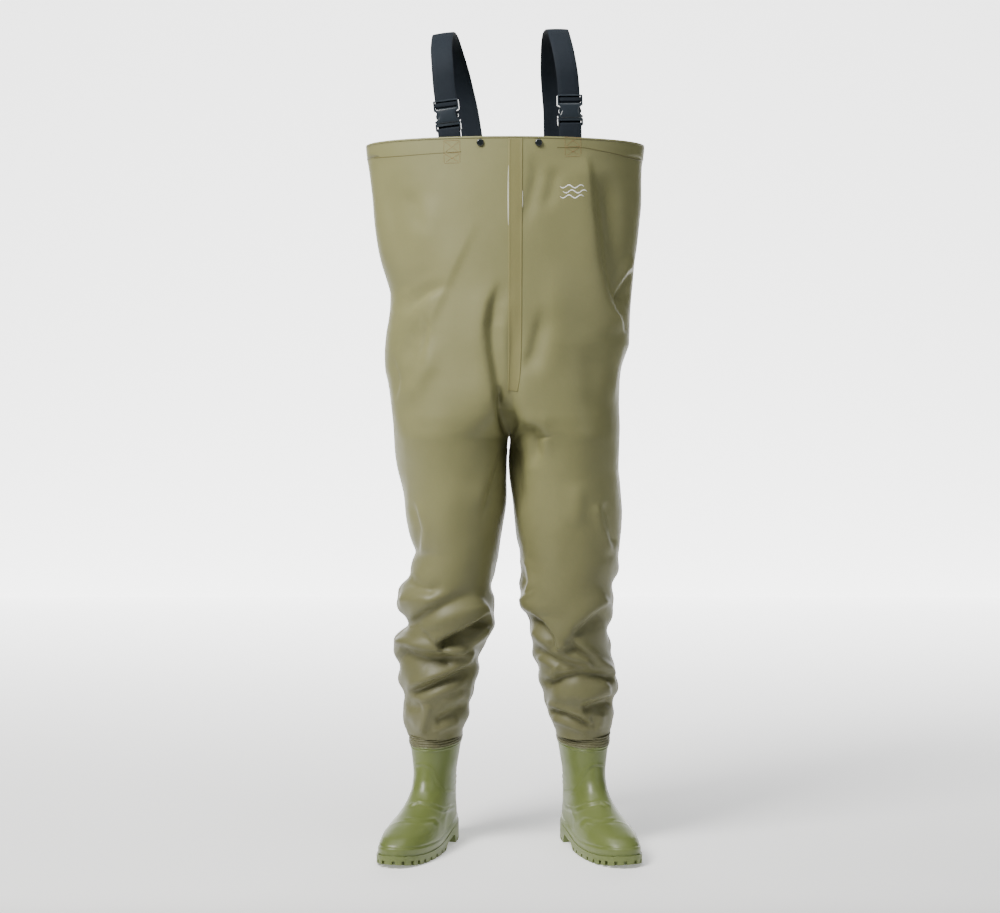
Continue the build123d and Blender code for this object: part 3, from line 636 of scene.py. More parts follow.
FAB = coated_fabric("olive_coated_fabric", (0.224, 0.217, 0.098), (0.207, 0.201, 0.089), (0.239, 0.230, 0.107))
TAPE = coated_fabric("olive_seam_tape", (0.218, 0.203, 0.086), (0.202, 0.189, 0.078), (0.232, 0.216, 0.094), rough=0.38, weave=0.05)
# darker colour of the weld line strips: painted shade of the groove along the weld
WELD_GROOVE_SHADE = coated_fabric("weld_groove_painted_shade", (0.15, 0.137, 0.054), (0.13, 0.12, 0.047), (0.165, 0.15, 0.06), rough=0.5)
# pale colour of the painted highlight strips along the centre tape's edge
TAPE_EDGE_HIGHLIGHT = moulded("painted_tape_edge_highlight", (0.62, 0.62, 0.52), (0.56, 0.56, 0.46), (0.68, 0.68, 0.58), rough=0.28)
# low=0.85 makes the band's painted shade towards the bottom weaker than the fabric's
BAND = coated_fabric("ribbed_band", (0.15, 0.145, 0.07), (0.13, 0.126, 0.06), (0.165, 0.158, 0.078), rough=0.5, low=0.85)
THREAD = moulded("tan_thread", (0.26, 0.15, 0.05), (0.22, 0.125, 0.04), (0.30, 0.175, 0.062), rough=0.6)
MARKM = moulded("white_print", (0.85, 0.85, 0.82), (0.82, 0.82, 0.79), (0.88, 0.88, 0.85), rough=0.45)
WEB = webbing_mat("navy_black_webbing", (0.004, 0.0065, 0.011), (0.015, 0.022, 0.031))
BUCK = moulded("black_acetal", (0.022, 0.029, 0.037), (0.017, 0.023, 0.029), (0.028, 0.036, 0.045), rough=0.22, grain=0.04, coat=0.5)
BOOT_M = moulded("green_boot_pvc", (0.122, 0.152, 0.041), (0.110, 0.138, 0.036), (0.136, 0.167, 0.047), rough=0.38, grain=0.10)
SOLE_M = moulded("green_sole_pvc", (0.124, 0.154, 0.041), (0.108, 0.136, 0.035), (0.14, 0.172, 0.047), rough=0.45, grain=0.3, scale=420)
INS_M = coated_fabric("grey_felt", (0.10, 0.10, 0.095), (0.08, 0.08, 0.075), (0.12, 0.12, 0.115), rough=0.9, weave=0.8)
LIN_M = coated_fabric("knit_lining", (0.40, 0.40, 0.36), (0.36, 0.36, 0.32), (0.44, 0.44, 0.40), rough=0.9, weave=0.9)
SNAP_M = moulded("painted_snap", (0.010, 0.013, 0.014), (0.007, 0.009, 0.010), (0.015, 0.018, 0.019), rough=0.16, grain=0.05, coat=0.6)
STEEL_M = moulded("snap_steel", (0.42, 0.42, 0.41), (0.36, 0.36, 0.35), (0.48, 0.48, 0.47), rough=0.3)
STEEL_M.node_tree.nodes["Principled BSDF"].inputs["Metallic"].default_value = 1.0

# ------------------------------------------------------------------ garment pieces


def vertex_normals(V, F):
    a, b, c, d = (V[F[:, k]] for k in range(4))
    fn = np.cross(c - a, d - b)
    n = np.zeros_like(V)
    for k in range(4):
        np.add.at(n, F[:, k], fn)
    return n / (np.linalg.norm(n, axis=1, keepdims=True) + 1e-12)


GN = vertex_normals(GV, GF)
if (GN[np.abs(GV[:, 2] - 1.0) < 0.01] * (GV[np.abs(GV[:, 2] - 1.0) < 0.01] - [0, 0.03, 1.0])).sum() < 0:
    GF = GF[:, ::-1]
    GN = -GN
Z_SPLIT = 0.32


def shell_piece(name, F, mats):
    """Closed thin shell from a patch of the garment, with the whole garment's normals."""
    used = np.unique(F)
    remap = -np.ones(len(GV), int)
    remap[used] = np.arange(len(used))
    f = remap[F]
    v, n = GV[used], GN[used]
    m = len(v)
    inner = v - n * S_FAB
    faces = [f, f[:, ::-1] + m]
    e = np.concatenate([f[:, [0, 1]], f[:, [1, 2]], f[:, [2, 3]], f[:, [3, 0]]])
    e = e[e[:, 0] != e[:, 1]]
    key = {}
    for a, b in e.tolist():
        key[(a, b)] = key.get((a, b), 0) + 1
    rim = [(b, a, a + m, b + m) for (a, b) in key if (b, a) not in key]
    allf = []
    for q in np.concatenate(faces).tolist():
        q2 = [q[0]]
        for t in q[1:]:
            if t != q2[-1] and t != q2[0]:
                q2.append(t)
        if len(q2) >= 3:
            allf.append(q2)
    allf += rim
    ob = mesh_object(name, np.concatenate([v, inner]), allf, mats=mats)
    ob.data.normals_split_custom_set_from_vertices(np.concatenate([n, -n]).tolist())
    return ob


fz = GV[GF][:, :, 2].mean(1)
fx = GV[GF][:, :, 0].mean(1)
body = shell_piece("garment_body", GF[fz >= Z_SPLIT], [FAB])
cuff_r = shell_piece("leg_end_right", GF[(fz < Z_SPLIT) & (fx < 0)], [FAB])
cuff_l = shell_piece("leg_end_left", GF[(fz < Z_SPLIT) & (fx > 0)], [FAB])
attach(body, "root")
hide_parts("front_panel_right", "front_panel_left", "back_panel_right", "back_panel_left")
for ob, s, sx in ((cuff_r, "right", -1), (cuff_l, "left", 1)):
    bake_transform(ob)


# ------------------------------------------------------------------ strips that lie on the garment
def at(side, r, c):
    """Point and normal at fractional row and column of one side's grid."""
    Q, N = GARMENT[side], NORMAL[side]
    r = np.clip(r, 0, ROWS - 1.001)
    if np.ndim(c) == 0:
        c = np.full_like(np.asarray(r, float), c)
    c = np.asarray(c, float)
    wrap = COLS - 1
    i = np.floor(r).astype(int)
    fr = (r - i)[..., None]
    cc = np.where(c < 0, c + wrap, np.where(c > wrap, c - wrap, c))
    j = np.clip(np.floor(cc).astype(int), 0, COLS - 2)
    fc = (cc - j)[..., None]

    def lerp(A):
        return ((A[i, j] * (1 - fc) + A[i, j + 1] * fc) * (1 - fr) + (A[i + 1, j] * (1 - fc) + A[i + 1, j + 1] * fc) * fr)
    return lerp(Q), lerp(N)


OUTW = {}
for s in ("right", "left"):
    mid = COLS // 2
    OUTW[s] = 1.0 if NORMAL[s][60, mid, 0] * (-1 if s == "right" else 1) > 0 else -1.0


def row_of(z):
    return (Z_TOP - z) / (Z_TOP - Z_END) * (ROWS - 1)


def front_pt(x, z):
    """Point and normal of the front of the garment at (x, z)."""
    x, z = np.broadcast_arrays(np.asarray(x, float), np.asarray(z, float))
    shape = x.shape
    x, z = x.ravel(), z.ravel()
    P, N = np.zeros((len(x), 3)), np.zeros((len(x), 3))
    for k in range(len(x)):
        s = "right" if x[k] < 0 else "left"
        r = row_of(z[k])
        i = int(np.clip(math.floor(r), 0, ROWS - 2))
        row = GARMENT[s][i, :COLS // 2 - 6, 0] * (-1 if s == "right" else 1)
        row = np.maximum.accumulate(row)
        c = np.interp(abs(x[k]), row, np.arange(len(row)))
        p, n = at(s, np.array([r]), np.array([c]))
        P[k], N[k] = p[0], n[0] * OUTW[s]
    N /= np.linalg.norm(N, axis=1, keepdims=True)
    return P.reshape(*shape, 3), N.reshape(*shape, 3)


def front_px(px, py):
    px, py = np.asarray(px, float), np.asarray(py, float)
    y = np.full(px.shape, -0.11)
    for _ in range(5):
        P, N = front_pt(x_at(px, y), z_at(py, y))
        y = P[..., 1]
    return P, N


def section_strip(name, P, N, heights, mats, uv_len=None, base=-0.0004):
    """Closed strip: P, N are rows x cols of surface points and normals, heights is cols of lift."""
    rows, cols = P.shape[:2]
    top = P + N * np.asarray(heights)[None, :, None]
    bot = P + N * base
    V = np.concatenate([top.reshape(-1, 3), bot.reshape(-1, 3)])
    f1 = grid_faces(rows, cols)
    f2 = grid_faces(rows, cols, base=rows * cols, flip=True)
    ids = np.arange(rows * cols).reshape(rows, cols)
    loop = np.concatenate([ids[0, :], ids[1:, -1], ids[-1, -2::-1], ids[-2:0:-1, 0]])
    nx = np.roll(loop, -1)
    rim = np.stack([nx, loop, loop + rows * cols, nx + rows * cols], -1)
    F = np.concatenate([f1, f2, rim])
    d1 = P[min(1, rows - 1), 0] - P[0, 0]
    d2 = P[0, 1] - P[0, 0]
    if np.dot(np.cross(d2, -d1), N[0, 0]) < 0:
        pass
    ob = mesh_object(name, V, F, mats=mats)
    # make the faces look outwards
    me = ob.data
    me.update()
    c = rows // 2 * (cols - 1) + (cols - 1) // 2
    if np.dot(np.array(me.polygons[c].normal), N[rows // 2, cols // 2]) < 0:
        me.flip_normals()
    return ob


# centre front tape: welded over the seam, a little to the wearer's left
zt = np.linspace(1.2985, 0.838, 170)
left_edge = np.interp(zt, [0.838, 0.90, 1.30], [-0.0030, -0.0020, -0.0016])
right_edge = np.interp(zt, [0.838, 0.87, 0.92, 1.30], [0.0150, 0.0200, 0.0226, 0.0244])
u = np.array([0, 0.03, 0.07, 0.12, 0.17, 0.3, 0.5, 0.7, 0.83, 0.88, 0.93, 0.97, 1.0])
hts = np.array([0.1, 0.8, 1.25, 0.75, 0.6, 0.6, 0.62, 0.6, 0.6, 0.75, 1.25, 0.8, 0.1]) / 1000
X = left_edge[:, None] * (1 - u) + right_edge[:, None] * u
P, N = front_pt(X, zt[:, None] + 0 * X)
P = smooth(P, 6, axis=0)
tape_f = section_strip("front_tape", P, N, hts, [TAPE])
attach(tape_f, "root"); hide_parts("front_seam_tape")
# painted highlight: a pale strip along the tape's edge stands in for the sheen on its glossy weld edge
for nm, side_x, zz0, zz1, wmax in (("tape_edge_highlight_right", left_edge, 1.252, 1.136, 0.0012), ("tape_edge_highlight_left", right_edge, 1.205, 1.168, 0.0008)):
    m = (zt < zz0) & (zt > zz1)
    z2 = zt[m]
    t = np.linspace(0, 1, len(z2))
    w = wmax * np.sin(math.pi * t) ** 0.6 + 0.0001
    X = side_x[m][:, None] + w[:, None] * np.array([-1.1, -0.6, 0.0, 0.6])[None, :]
    P, N = front_pt(X, z2[:, None] + 0 * X)
    g = section_strip(nm, smooth(P, 3), N, np.array([0.1, 0.9, 1.0, 0.5]) / 1000, [TAPE_EDGE_HIGHLIGHT])
    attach(g, "root")


def seam_strip(name, side, r0, r1, centre_cols, half_mm, lift, mats, step=1.0):
    rr = np.arange(r0, r1 + 1e-6, step)
    cc = np.interp(rr, [r0, r1], centre_cols) if np.ndim(centre_cols) else np.full(len(rr), float(centre_cols))
    p0, _ = at(side, rr, cc - 0.5)
    p1, _ = at(side, rr, cc + 0.5)
    mm = np.linalg.norm(p1 - p0, axis=1)
    u = np.array([-1, -0.9, -0.5, 0, 0.5, 0.9, 1.0])
    C = cc[:, None] + (half_mm / 1000) / mm[:, None] * u
    P, N = at(side, rr[:, None] + 0 * C, C)
    N = N * OUTW[side]
    N /= np.linalg.norm(N, axis=-1, keepdims=True)
    h = np.array([0.05, 0.7, 0.8, 0.85, 0.8, 0.7, 0.05]) * lift / 1000
    return section_strip(name, P, N, h, mats)


# column of the side seam: where the section passes y = 30 mm on the outer side
def side_col(side, r):
    Q = GARMENT[side][int(r)]
    c = np.arange(COLS)[COLS // 4: 3 * COLS // 4]
    return float(np.interp(0.030, Q[COLS // 4: 3 * COLS // 4, 1], c))


r_split = row_of(Z_SPLIT)
for side, sx in (("right", -1), ("left", 1)):
    up = seam_strip(f"side_tape_{side}", side, 1, r_split, (side_col(side, 2), side_col(side, r_split)), 9.5, 0.9, [TAPE])
    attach(up, "root"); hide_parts(f"side_seam_tape_{side}")
    lo = seam_strip(f"side_tape_low_{side}", side, r_split, row_of(0.212), (side_col(side, r_split), side_col(side, r_split)), 9.5, 0.9, [TAPE])
    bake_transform(lo)
    inn = seam_strip(f"inseam_tape_{side}", side, CLOSED + 6, r_split, 0.0, 8.5, 0.9, [TAPE])
    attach(inn, "root"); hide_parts(f"inseam_tape_{side}")
    lo = seam_strip(f"inseam_tape_low_{side}", side, r_split, row_of(0.212), 0.0, 8.5, 0.9, [TAPE])
    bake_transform(lo)

# centre back tape
rr = np.arange(1, row_of(0.82), 1.0)
uu = np.array([-1, -0.92, -0.8, -0.4, 0, 0.4, 0.8, 0.92, 1.0])
Pl, Nl = [], []
for u1 in uu:
    s = "right" if u1 < 0 else "left"
    p0, _ = at(s, rr, COLS - 1.0)
    p1, _ = at(s, rr, COLS - 2.0)
    mm = np.linalg.norm(p1 - p0, axis=1)
    c = (COLS - 1.0) - abs(u1) * 0.0135 / mm
    p, n = at(s, rr, c)
    Pl.append(p); Nl.append(n * OUTW[s])
P, N = np.stack(Pl, 1), np.stack(Nl, 1)
N /= np.linalg.norm(N, axis=-1, keepdims=True)
tape_b = section_strip("back_tape", P, N, np.array([0.1, 0.7, 0.9, 0.8, 0.8, 0.8, 0.9, 0.7, 0.1]) / 1000, [TAPE])
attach(tape_b, "root"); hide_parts("back_seam_tape")

# top hem: folded edge with the facing inside
ring, nring = [], []
for side in ("right", "left"):
    Q = GARMENT[side][0]; NN = NORMAL[side][3] * OUTW[side]
    if side == "right":
        ring.append(Q[:-1]); nring.append(NN[:-1])
    else:
        ring.append(Q[::-1][:-1]); nring.append(NN[::-1][:-1])
ring = np.concatenate(ring); nring = np.concatenate(nring)
nring[:, 2] = 0
nring = smooth(nring, 2)
nring /= np.linalg.norm(nring, axis=1, keepdims=True)
sect = [(0.25, -3.5), (0.3, -1.2), (-0.2, 0.3), (-1.5, 0.9), (-2.8, 0.3), (-3.3, -1.2), (-3.3, -14), (-3.4, -25.5), (-2.8, -26.2), (-1.5, -26.0), (-1.5, -14), (-1.4, -3.0)]
H = np.stack([ring + nring * (a / 1000) + np.array([0, 0, b / 1000]) for a, b in sect], 1)
nr, ns = H.shape[:2]
f = []
for i in range(nr):
    for j in range(ns):
        f.append((i * ns + j, ((i + 1) % nr) * ns + j, ((i + 1) % nr) * ns + (j + 1) % ns, i * ns + (j + 1) % ns))
hem = mesh_object("top_hem", H.reshape(-1, 3), f, mats=[FAB])
bm_n = np.array(hem.data.polygons[ns * 30].normal)
if np.dot(bm_n, nring[30]) < 0:
    hem.data.flip_normals()
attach(hem, "root"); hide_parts("top_hem_facing")

# weld line below the hem, broken between the press studs: raised strips whose darker colour is painted shade of the
# weld groove
for nm, pts in (("hem_weld_right", [(373.5, 158), (400, 156), (430, 153.6), (461, 151.6)]), ("hem_weld_left", [(557, 147.4), (584, 147.4), (612, 153), (640.5, 160.6)])):
    pts = np.array(pts)
    t = np.linspace(0, 1, 90)
    px = np.interp(t, np.linspace(0, 1, len(pts)), pts[:, 0])
    py = smooth(np.interp(t, np.linspace(0, 1, len(pts)), pts[:, 1]), 8)
    PX = px[:, None] + 0 * np.arange(4)
    PY = py[:, None] + np.array([-0.55, -0.25, 0.25, 0.55])
    P, N = front_px(PX, PY)
    w = section_strip(nm, P, N, np.array([0.05, 0.45, 0.45, 0.05]) / 1000, [WELD_GROOVE_SHADE])
    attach(w, "root")


def stitch_lines(name, lines, mat, length=1.15, gap=0.55, width=0.26, lift=0.00035):
    """Rows of thread: each stitch is a small rounded bar lying on the fabric; lines are in front-view units."""
    V, F = [], []
    for a, b in lines:
        a, b = np.array(a, float), np.array(b, float)
        L = np.linalg.norm(b - a)
        d = (b - a) / L
        nrm = np.array([-d[1], d[0]])
        k = max(int(L / (length + gap)), 1)
        for i in range(k):
            s0 = a + d * (i * (length + gap) + gap / 2)
            s1 = s0 + d * length
            prof = [(0.0, 0.35, 0.15), (0.18, 1.0, 0.9), (0.5, 1.0, 1.25), (0.82, 1.0, 0.9), (1.0, 0.35, 0.15)]
            base = len(V)
            cen = np.array([s0 + (s1 - s0) * t for t, _, _ in prof])
            P, N = front_px(cen[:, 0], cen[:, 1])
            ax = P[-1] - P[0]
            ax /= np.linalg.norm(ax)
            for (t, wd, ht), p, n in zip(prof, P, N):
                side_v = np.cross(n, ax)
                for ang in (0, 60, 120, 180):
                    ca, sa = math.cos(math.radians(ang)), math.sin(math.radians(ang))
                    V.append(p + side_v * (ca * wd * width * 1.82 / 1000) + n * (sa * ht * lift * 1.6 + 0.00002))
            for q in range(4):
                for m in range(3):
                    F.append((base + q * 4 + m, base + q * 4 + m + 1, base + (q + 1) * 4 + m + 1, base + (q + 1) * 4 + m))
                F.append((base + q * 4 + 3, base + q * 4, base + (q + 1) * 4, base + (q + 1) * 4 + 3))
            F.append((base + 3, base + 2, base + 1, base))
            F.append((base + 16, base + 17, base + 18, base + 19))
    ob = mesh_object(name, V, F, mats=[mat])
    return ob


for nm, (x0, y0, x1, y1), tack in (("strap_stitching_right", (443.8, 140.7, 459.9, 163.4), (459.0, 141.5, 459.0, 146.8)), ("strap_stitching_left", (564.9, 134.6, 580.9, 156.6), (566.0, 135.4, 566.0, 140.4))):
    ym = y0 + (y1 - y0) * 0.55
    lines = [((x0, y0), (x1, y0 - 0.4)), ((x0, y0), (x0 + 0.3, y1)), ((x1, y0 - 0.4), (x1, y1 - 0.6)), ((x0 + 0.3, y1), (x1, y1 - 0.6)), ((x0, ym), (x1, ym - 0.4)),
             ((x0 + 0.8, y0 + 0.8), (x1 - 0.8, ym - 1)), ((x1 - 0.8, y0 + 0.6), (x0 + 0.8, ym - 0.8)),
             ((x0 + 0.8, ym + 0.8), (x1 - 0.8, y1 - 1.2)), ((x1 - 0.8, ym + 0.6), (x0 + 0.8, y1 - 0.8))]
    st = stitch_lines(nm, lines, THREAD)
    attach(st, "root")

# generic mark printed on the wearer's left chest: three short waves
V, F = [], []
for k, (yy, x0, x1) in enumerate(((186.5, 560, 584), (191.5, 563, 587), (196.5, 560, 584))):
    t = np.linspace(0, 1, 40)
    px = x0 + (x1 - x0) * t
    py = yy + 1.5 * np.sin(t * 2 * math.pi * 2)
    wd = 0.62 * np.sin(math.pi * np.clip(t, 0.02, 0.98)) ** 0.35
    PX = np.stack([px] * 4, 1)
    PY = py[:, None] + wd[:, None] * np.array([-1, -0.7, 0.7, 1.0])
    P, N = front_px(PX, PY)
    mk = section_strip(f"wave_mark_{k + 1}", P, N, np.array([0.02, 0.14, 0.14, 0.02]) / 1000, [MARKM], base=-0.0001)
    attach(mk, "root")

# ------------------------------------------------------------------ shoulder straps
def fillet_path(points, share=0.45, radius=None, arc_n=14, seg=0.006):
    pts = [np.array(p, float) for p in points]
    out = [pts[0]]
    for a, b, c in zip(pts, pts[1:], pts[2:]):
        p, q = b - a, c - b
        lp, lq = np.linalg.norm(p), np.linalg.norm(q)
        turn = math.acos(np.clip(np.dot(p, q) / lp / lq, -1, 1))
        cut = radius * math.tan(turn / 2) if radius else share * min(lp, lq)
        s, e = b - p / lp * cut, b + q / lq * cut
        r = cut / math.tan(turn / 2)
        # centre of the arc
        d = (q / lq - p / lp)
        d /= np.linalg.norm(d)
        cen = b + d * (r / math.cos(turn / 2))
        a0 = s - cen
        for k in range(arc_n + 1):
            t = turn * k / arc_n
            sg = np.sign(p[0] * q[1] - p[1] * q[0])
            ca, sa = math.cos(t * sg), math.sin(t * sg)
            out.append(cen + np.array([a0[0] * ca - a0[1] * sa, a0[0] * sa + a0[1] * ca]))
    out.append(pts[-1])
    out = np.array(out)
    ln = np.concatenate([[0], np.cumsum(np.linalg.norm(np.diff(out, axis=0), axis=1))])
    keep = np.concatenate([[True], np.diff(ln) > 1e-7])
    out, ln = out[keep], ln[keep]
    n = max(int(ln[-1] / seg), 8)
    t = np.linspace(0, ln[-1], n)
    return np.stack([np.interp(t, ln, out[:, k]) for k in range(2)], 1), t


STRAPS = {
    "right": ((-0.108, -0.088, 1.300), (0.987, -0.1146, 0.1105), 0.013, 0.208),
    "left": ((0.1108, -0.088, 1.300), (0.9935, 0.1105, 0.0258), 0.022, 0.214),
}


BACK_SHIFT = {"right": 0.015, "left": 0.0}


def ribbon(name, side, run, width, thick, mats, radius=None, seg=0.004, ripple=0.0, cup=0.0, v0=0.0):
    """Flat webbing along a path in the plane of one strap: x of the path goes to the back, y up the webbing."""
    origin, across, lift, crest = STRAPS[side]
    U = np.array(across) / np.linalg.norm(across)
    Vv = np.array([0, 0, 1.0]) - U * U[2]
    Vv /= np.linalg.norm(Vv)
    W = np.cross(U, Vv)
    path, t = fillet_path(run, radius=radius, seg=seg)
    d = np.gradient(path, axis=0)
    d /= np.linalg.norm(d, axis=1, keepdims=True)
    out2 = np.stack([-d[:, 1], d[:, 0]], 1)                       # to the outside of the arch
    cen = np.array(origin) + path[:, :1] * (-W) + path[:, 1:] * Vv
    if name.startswith("strap_"):
        # the webbing leans a little more than its own plane
        up_ = np.clip(path[:, 1], 0, 0.21)
        if side == "right":
            cen[:, 0] += BACK_SHIFT["right"] * (1 - (up_ / 0.21) ** 1.7) * sstep(0.06, 0.20, path[:, 0])
        else:
            cen[:, 0] += -0.009 * sstep(0.07, 0.205, path[:, 1])
    nor = out2[:, :1] * (-W) + out2[:, 1:] * Vv
    rnd = np.random.default_rng(11 if side == "right" else 23)
    k = smooth(rnd.normal(size=len(t)), 40)
    k = k / (np.abs(k).max() + 1e-9) * ripple
    h, w = thick / 2, width / 2
    e = h * 0.9
    sec = [(-w, 0), (-w + e * 0.35, h * 0.75), (-w + e, h), (-w * 0.5, h * 1.02), (0, h), (w * 0.5, h * 1.02), (w - e, h), (w - e * 0.35, h * 0.75), (w, 0),
           (w - e * 0.35, -h * 0.75), (w - e, -h), (w * 0.5, -h), (0, -h), (-w * 0.5, -h), (-w + e, -h), (-w + e * 0.35, -h * 0.75)]
    V, UVs = [], []
    m = len(sec)
    for i in range(len(t)):
        for (a, b) in sec:
            bow = cup * (1 - (a / w) ** 2)
            V.append(cen[i] + U * (a + k[i]) + nor[i] * (b + bow))
            UVs.append((a if b >= 0 else a, t[i] + v0))
    F = []
    for i in range(len(t) - 1):
        for j in range(m):
            F.append((i * m + j, i * m + (j + 1) % m, (i + 1) * m + (j + 1) % m, (i + 1) * m + j))
    F.append(tuple(range(m))[::-1])
    F.append(tuple((len(t) - 1) * m + j for j in range(m)))
    ob = mesh_object(name, V, F, uvs=UVs, mats=mats)
    me = ob.data
    c = (len(t) // 3) * m + 4
    if np.dot(np.array(me.polygons[c].normal), nor[len(t) // 3]) < 0:
        me.flip_normals()
    return ob, cen, nor, U


for side in ("right", "left"):
    origin, across, lift, crest = STRAPS[side]
    run = [(0.0061, -0.008), (0.0061, 0.150), (0.060, crest), (0.148, crest), (0.211, 0.126), (0.2225, 0.044), (0.223, -0.034)]
    st, cen, nor, U = ribbon(f"strap_{side}", side, run, 0.040, 0.0016, [WEB], ripple=0.0009, cup=0.0008)
    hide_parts(f"shoulder_strap_{side}")
    Vv = np.array([0, 0, 1.0]) - U * U[2]
    Vv /= np.linalg.norm(Vv)
    # a point near the back end is worked out (not used further), and the strap is baked in place
    o = np.array(origin)
    W = np.cross(U, Vv)
    back = o - W * 0.223 + Vv * 0.02
    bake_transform(st)
    tab_run = [(0.0011, -0.030), (0.0029, lift - 0.006), (0.0029, lift + 0.005), (-0.0029, lift + 0.005), (-0.0029, lift - 0.006), (-0.0011, -0.030)]
    tb, _, _, _ = ribbon(f"tab_{side}", side, tab_run, 0.040, 0.0014, [WEB], radius=0.0021, seg=0.0011, v0=0.3)
    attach(tb, "root"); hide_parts(f"buckle_tab_{side}")
    wr_run = [(0.0046, lift + 0.05125), (-0.0027, lift + 0.05125), (-0.0027, lift + 0.0436), (0.0046, lift + 0.0436)]
    wr, _, _, _ = ribbon(f"ladder_wrap_{side}", side, wr_run, 0.040, 0.0014, [WEB], radius=0.002, seg=0.0006, v0=0.7)
    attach(wr, f"socket_{side}"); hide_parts(f"strap_ladder_wrap_{side}")

# ------------------------------------------------------------------ boots
FT = math.radians(18)
SL = np.array([
    (8, 76.5, 146.5, 46.0, 0.12, 0.06, -3, 2.35), (30, 76.0, 146.5, 46.5, 0.12, 0.06, -3, 2.35), (46, 69.25, 138.75, 45.0, 0.11, 0.05, -3, 2.3),
    (59, 53.75, 122.25, 42.5, 0.09, 0.03, -2, 2.25), (70, 37.25, 104.75, 39.5, 0.07, 0.02, -1, 2.15), (81, 24.75, 91.25, 37.5, 0.04, 0.0, 0, 2.1),
    (93, 15.75, 81.25, 36.0, 0.02, 0.0, 0, 2.05), (108, 7.25, 71.75, 35.5, 0.0, 0.0, 0, 2.0), (126, 2.5, 66.5, 35.5, 0.0, 0.0, 0, 2.0),
    (156, -1.0, 63.5, 40.0, 0.0, 0.0, 0, 2.0), (192, -2.0, 65.0, 46.0, 0.0, 0.0, 0, 2.0)], float)
SOLE_TOP = np.array([(-95, 34), (-30, 33.5), (15, 30), (45, 24), (80, 18.5), (125, 16), (175, 16.5), (245, 25)], float)
BC = 128


def boot_point(z, th, grow=0.0):
    row = [curve_through(SL[:, 0], SL[:, k], z) for k in range(1, 8)]
    uc, a, b, egg, waist, skew, n = row
    c, s = np.cos(th), np.sin(th)
    x = np.sign(c) * np.abs(c) ** (2 / n)
    y = np.sign(s) * np.abs(s) ** (2 / n)
    w = 1 - waist * np.exp(-(((y + 0.2) / 0.28) ** 2))
    return (b + grow) * x * (1 + egg * y) * w - skew * np.maximum(y, 0) ** 2, uc + (a + grow) * y


def to_world(x, u, z):
    """Boot's own outward and forward directions to the row frame, wearer's right."""
    return np.stack([-0.1385 + (-math.cos(FT) * x - math.sin(FT) * u) / 1000, 0.043 + (math.sin(FT) * x - math.cos(FT) * u) / 1000, z / 1000 + 0 * x], -1)


bz = np.concatenate([np.linspace(13, 46, 26)[:-1], np.linspace(46, 95, 76)[:-1], np.linspace(95, 176, 44)[:-1], np.linspace(176, 194, 25)])
th = np.linspace(0, 2 * math.pi, BC, endpoint=False)
TH, BZ = np.meshgrid(th, bz)
X, Uu = boot_point(BZ.ravel(), TH.ravel())
X, Uu = X.reshape(BZ.shape), Uu.reshape(BZ.shape)
# the top edge leans: lower in front
lean = -0.085 * (Uu + 2) * sstep(120, 192, BZ)
BP = to_world(X, Uu, BZ + lean)


def ring_normals(P):
    du = (np.roll(P, -1, 1) - np.roll(P, 1, 1))
    dv = np.gradient(P, axis=0)
    n = np.cross(du, dv)
    n /= np.linalg.norm(n, axis=-1, keepdims=True) + 1e-12
    c = P.mean(1, keepdims=True)
    if ((n * (P - c)).sum()) < 0:
        n = -n
    return n


BN = ring_normals(BP)
bpx, bpy2 = to_px(BP)
BOOT_FOLDS = [
    ([(413, 765), (424, 764), (432, 769), (438, 782), (446, 790.5), (458, 788)], 0.9, 1.1, 1.1, 2, (0.05, 0.05), None),      # edge of the shaft panel
    ([(413, 768), (424, 767), (430.5, 771), (436.6, 784), (445, 793), (458, 791)], -0.7, 1.6, 1.4, 2, (0.05, 0.05), None),
    ([(408, 806), (419, 801), (432, 804.5), (443.5, 809), (456, 804)], 1.2, 1.2, 1.2, 2, (0.1, 0.1), None),                # instep crease
    ([(408, 808.6), (419, 803.8), (432, 807.2), (443.5, 811.6), (456, 807)], -1.0, 1.8, 1.6, 2, (0.1, 0.1), None),
    ([(402, 818), (419, 820), (434, 819), (441, 826)], 1.0, 1.4, 1.2, 2, (0.15, 0.1), None),                              # vamp line
    ([(402, 821), (419, 823), (433, 822), (439, 828)], -0.9, 2.0, 1.6, 2, (0.15, 0.1), None),
    ([(457, 798), (449, 806), (444.5, 818), (443.5, 832)], 1.1, 1.3, 1.3, 2, (0.05, 0.1), None),                          # heel counter
    ([(459, 800), (452, 808), (447.5, 820), (446.5, 832)], -0.8, 1.6, 1.6, 2, (0.05, 0.1), None),
    ([(424, 780), (430, 800), (428, 812)], 0.8, 5, 5, 2, (0.3, 0.3), None),
]
bf = fold_sum(bpx, bpy2, BOOT_FOLDS) * sstep(-0.05, 0.25, -BN[..., 1])
# rand: thicker band above the outsole, with a rounded upper edge
top = curve_through(SOLE_TOP[:, 0], SOLE_TOP[:, 1], np.clip(Uu, -95, 245))
above = BZ - top
rand_h = 9.5 + 3.0 * sstep(100, 200, Uu)
bf += 1.5 * sstep(rand_h + 1.6, rand_h - 0.6, above)
bf += -0.7 * np.exp(-((above - rand_h - 2.2) / 1.1) ** 2)
# toe cap edge, wrinkles behind the ankle
bf += 0.5 * np.exp(-((Uu - 150 - 10 * np.cos(TH)) / 2.2) ** 2) * (BZ > 34)
bf += 0.8 * np.sin(BZ * 0.55 + 1.2 * np.cos(TH * 2)) * np.exp(-((BZ - 112) / 14) ** 2) * sstep(0.1, -0.6, np.sin(TH))
# heel kick ridge
bf += 1.4 * np.exp(-((above - 16) / 2.4) ** 2) * sstep(-40, -66, Uu)
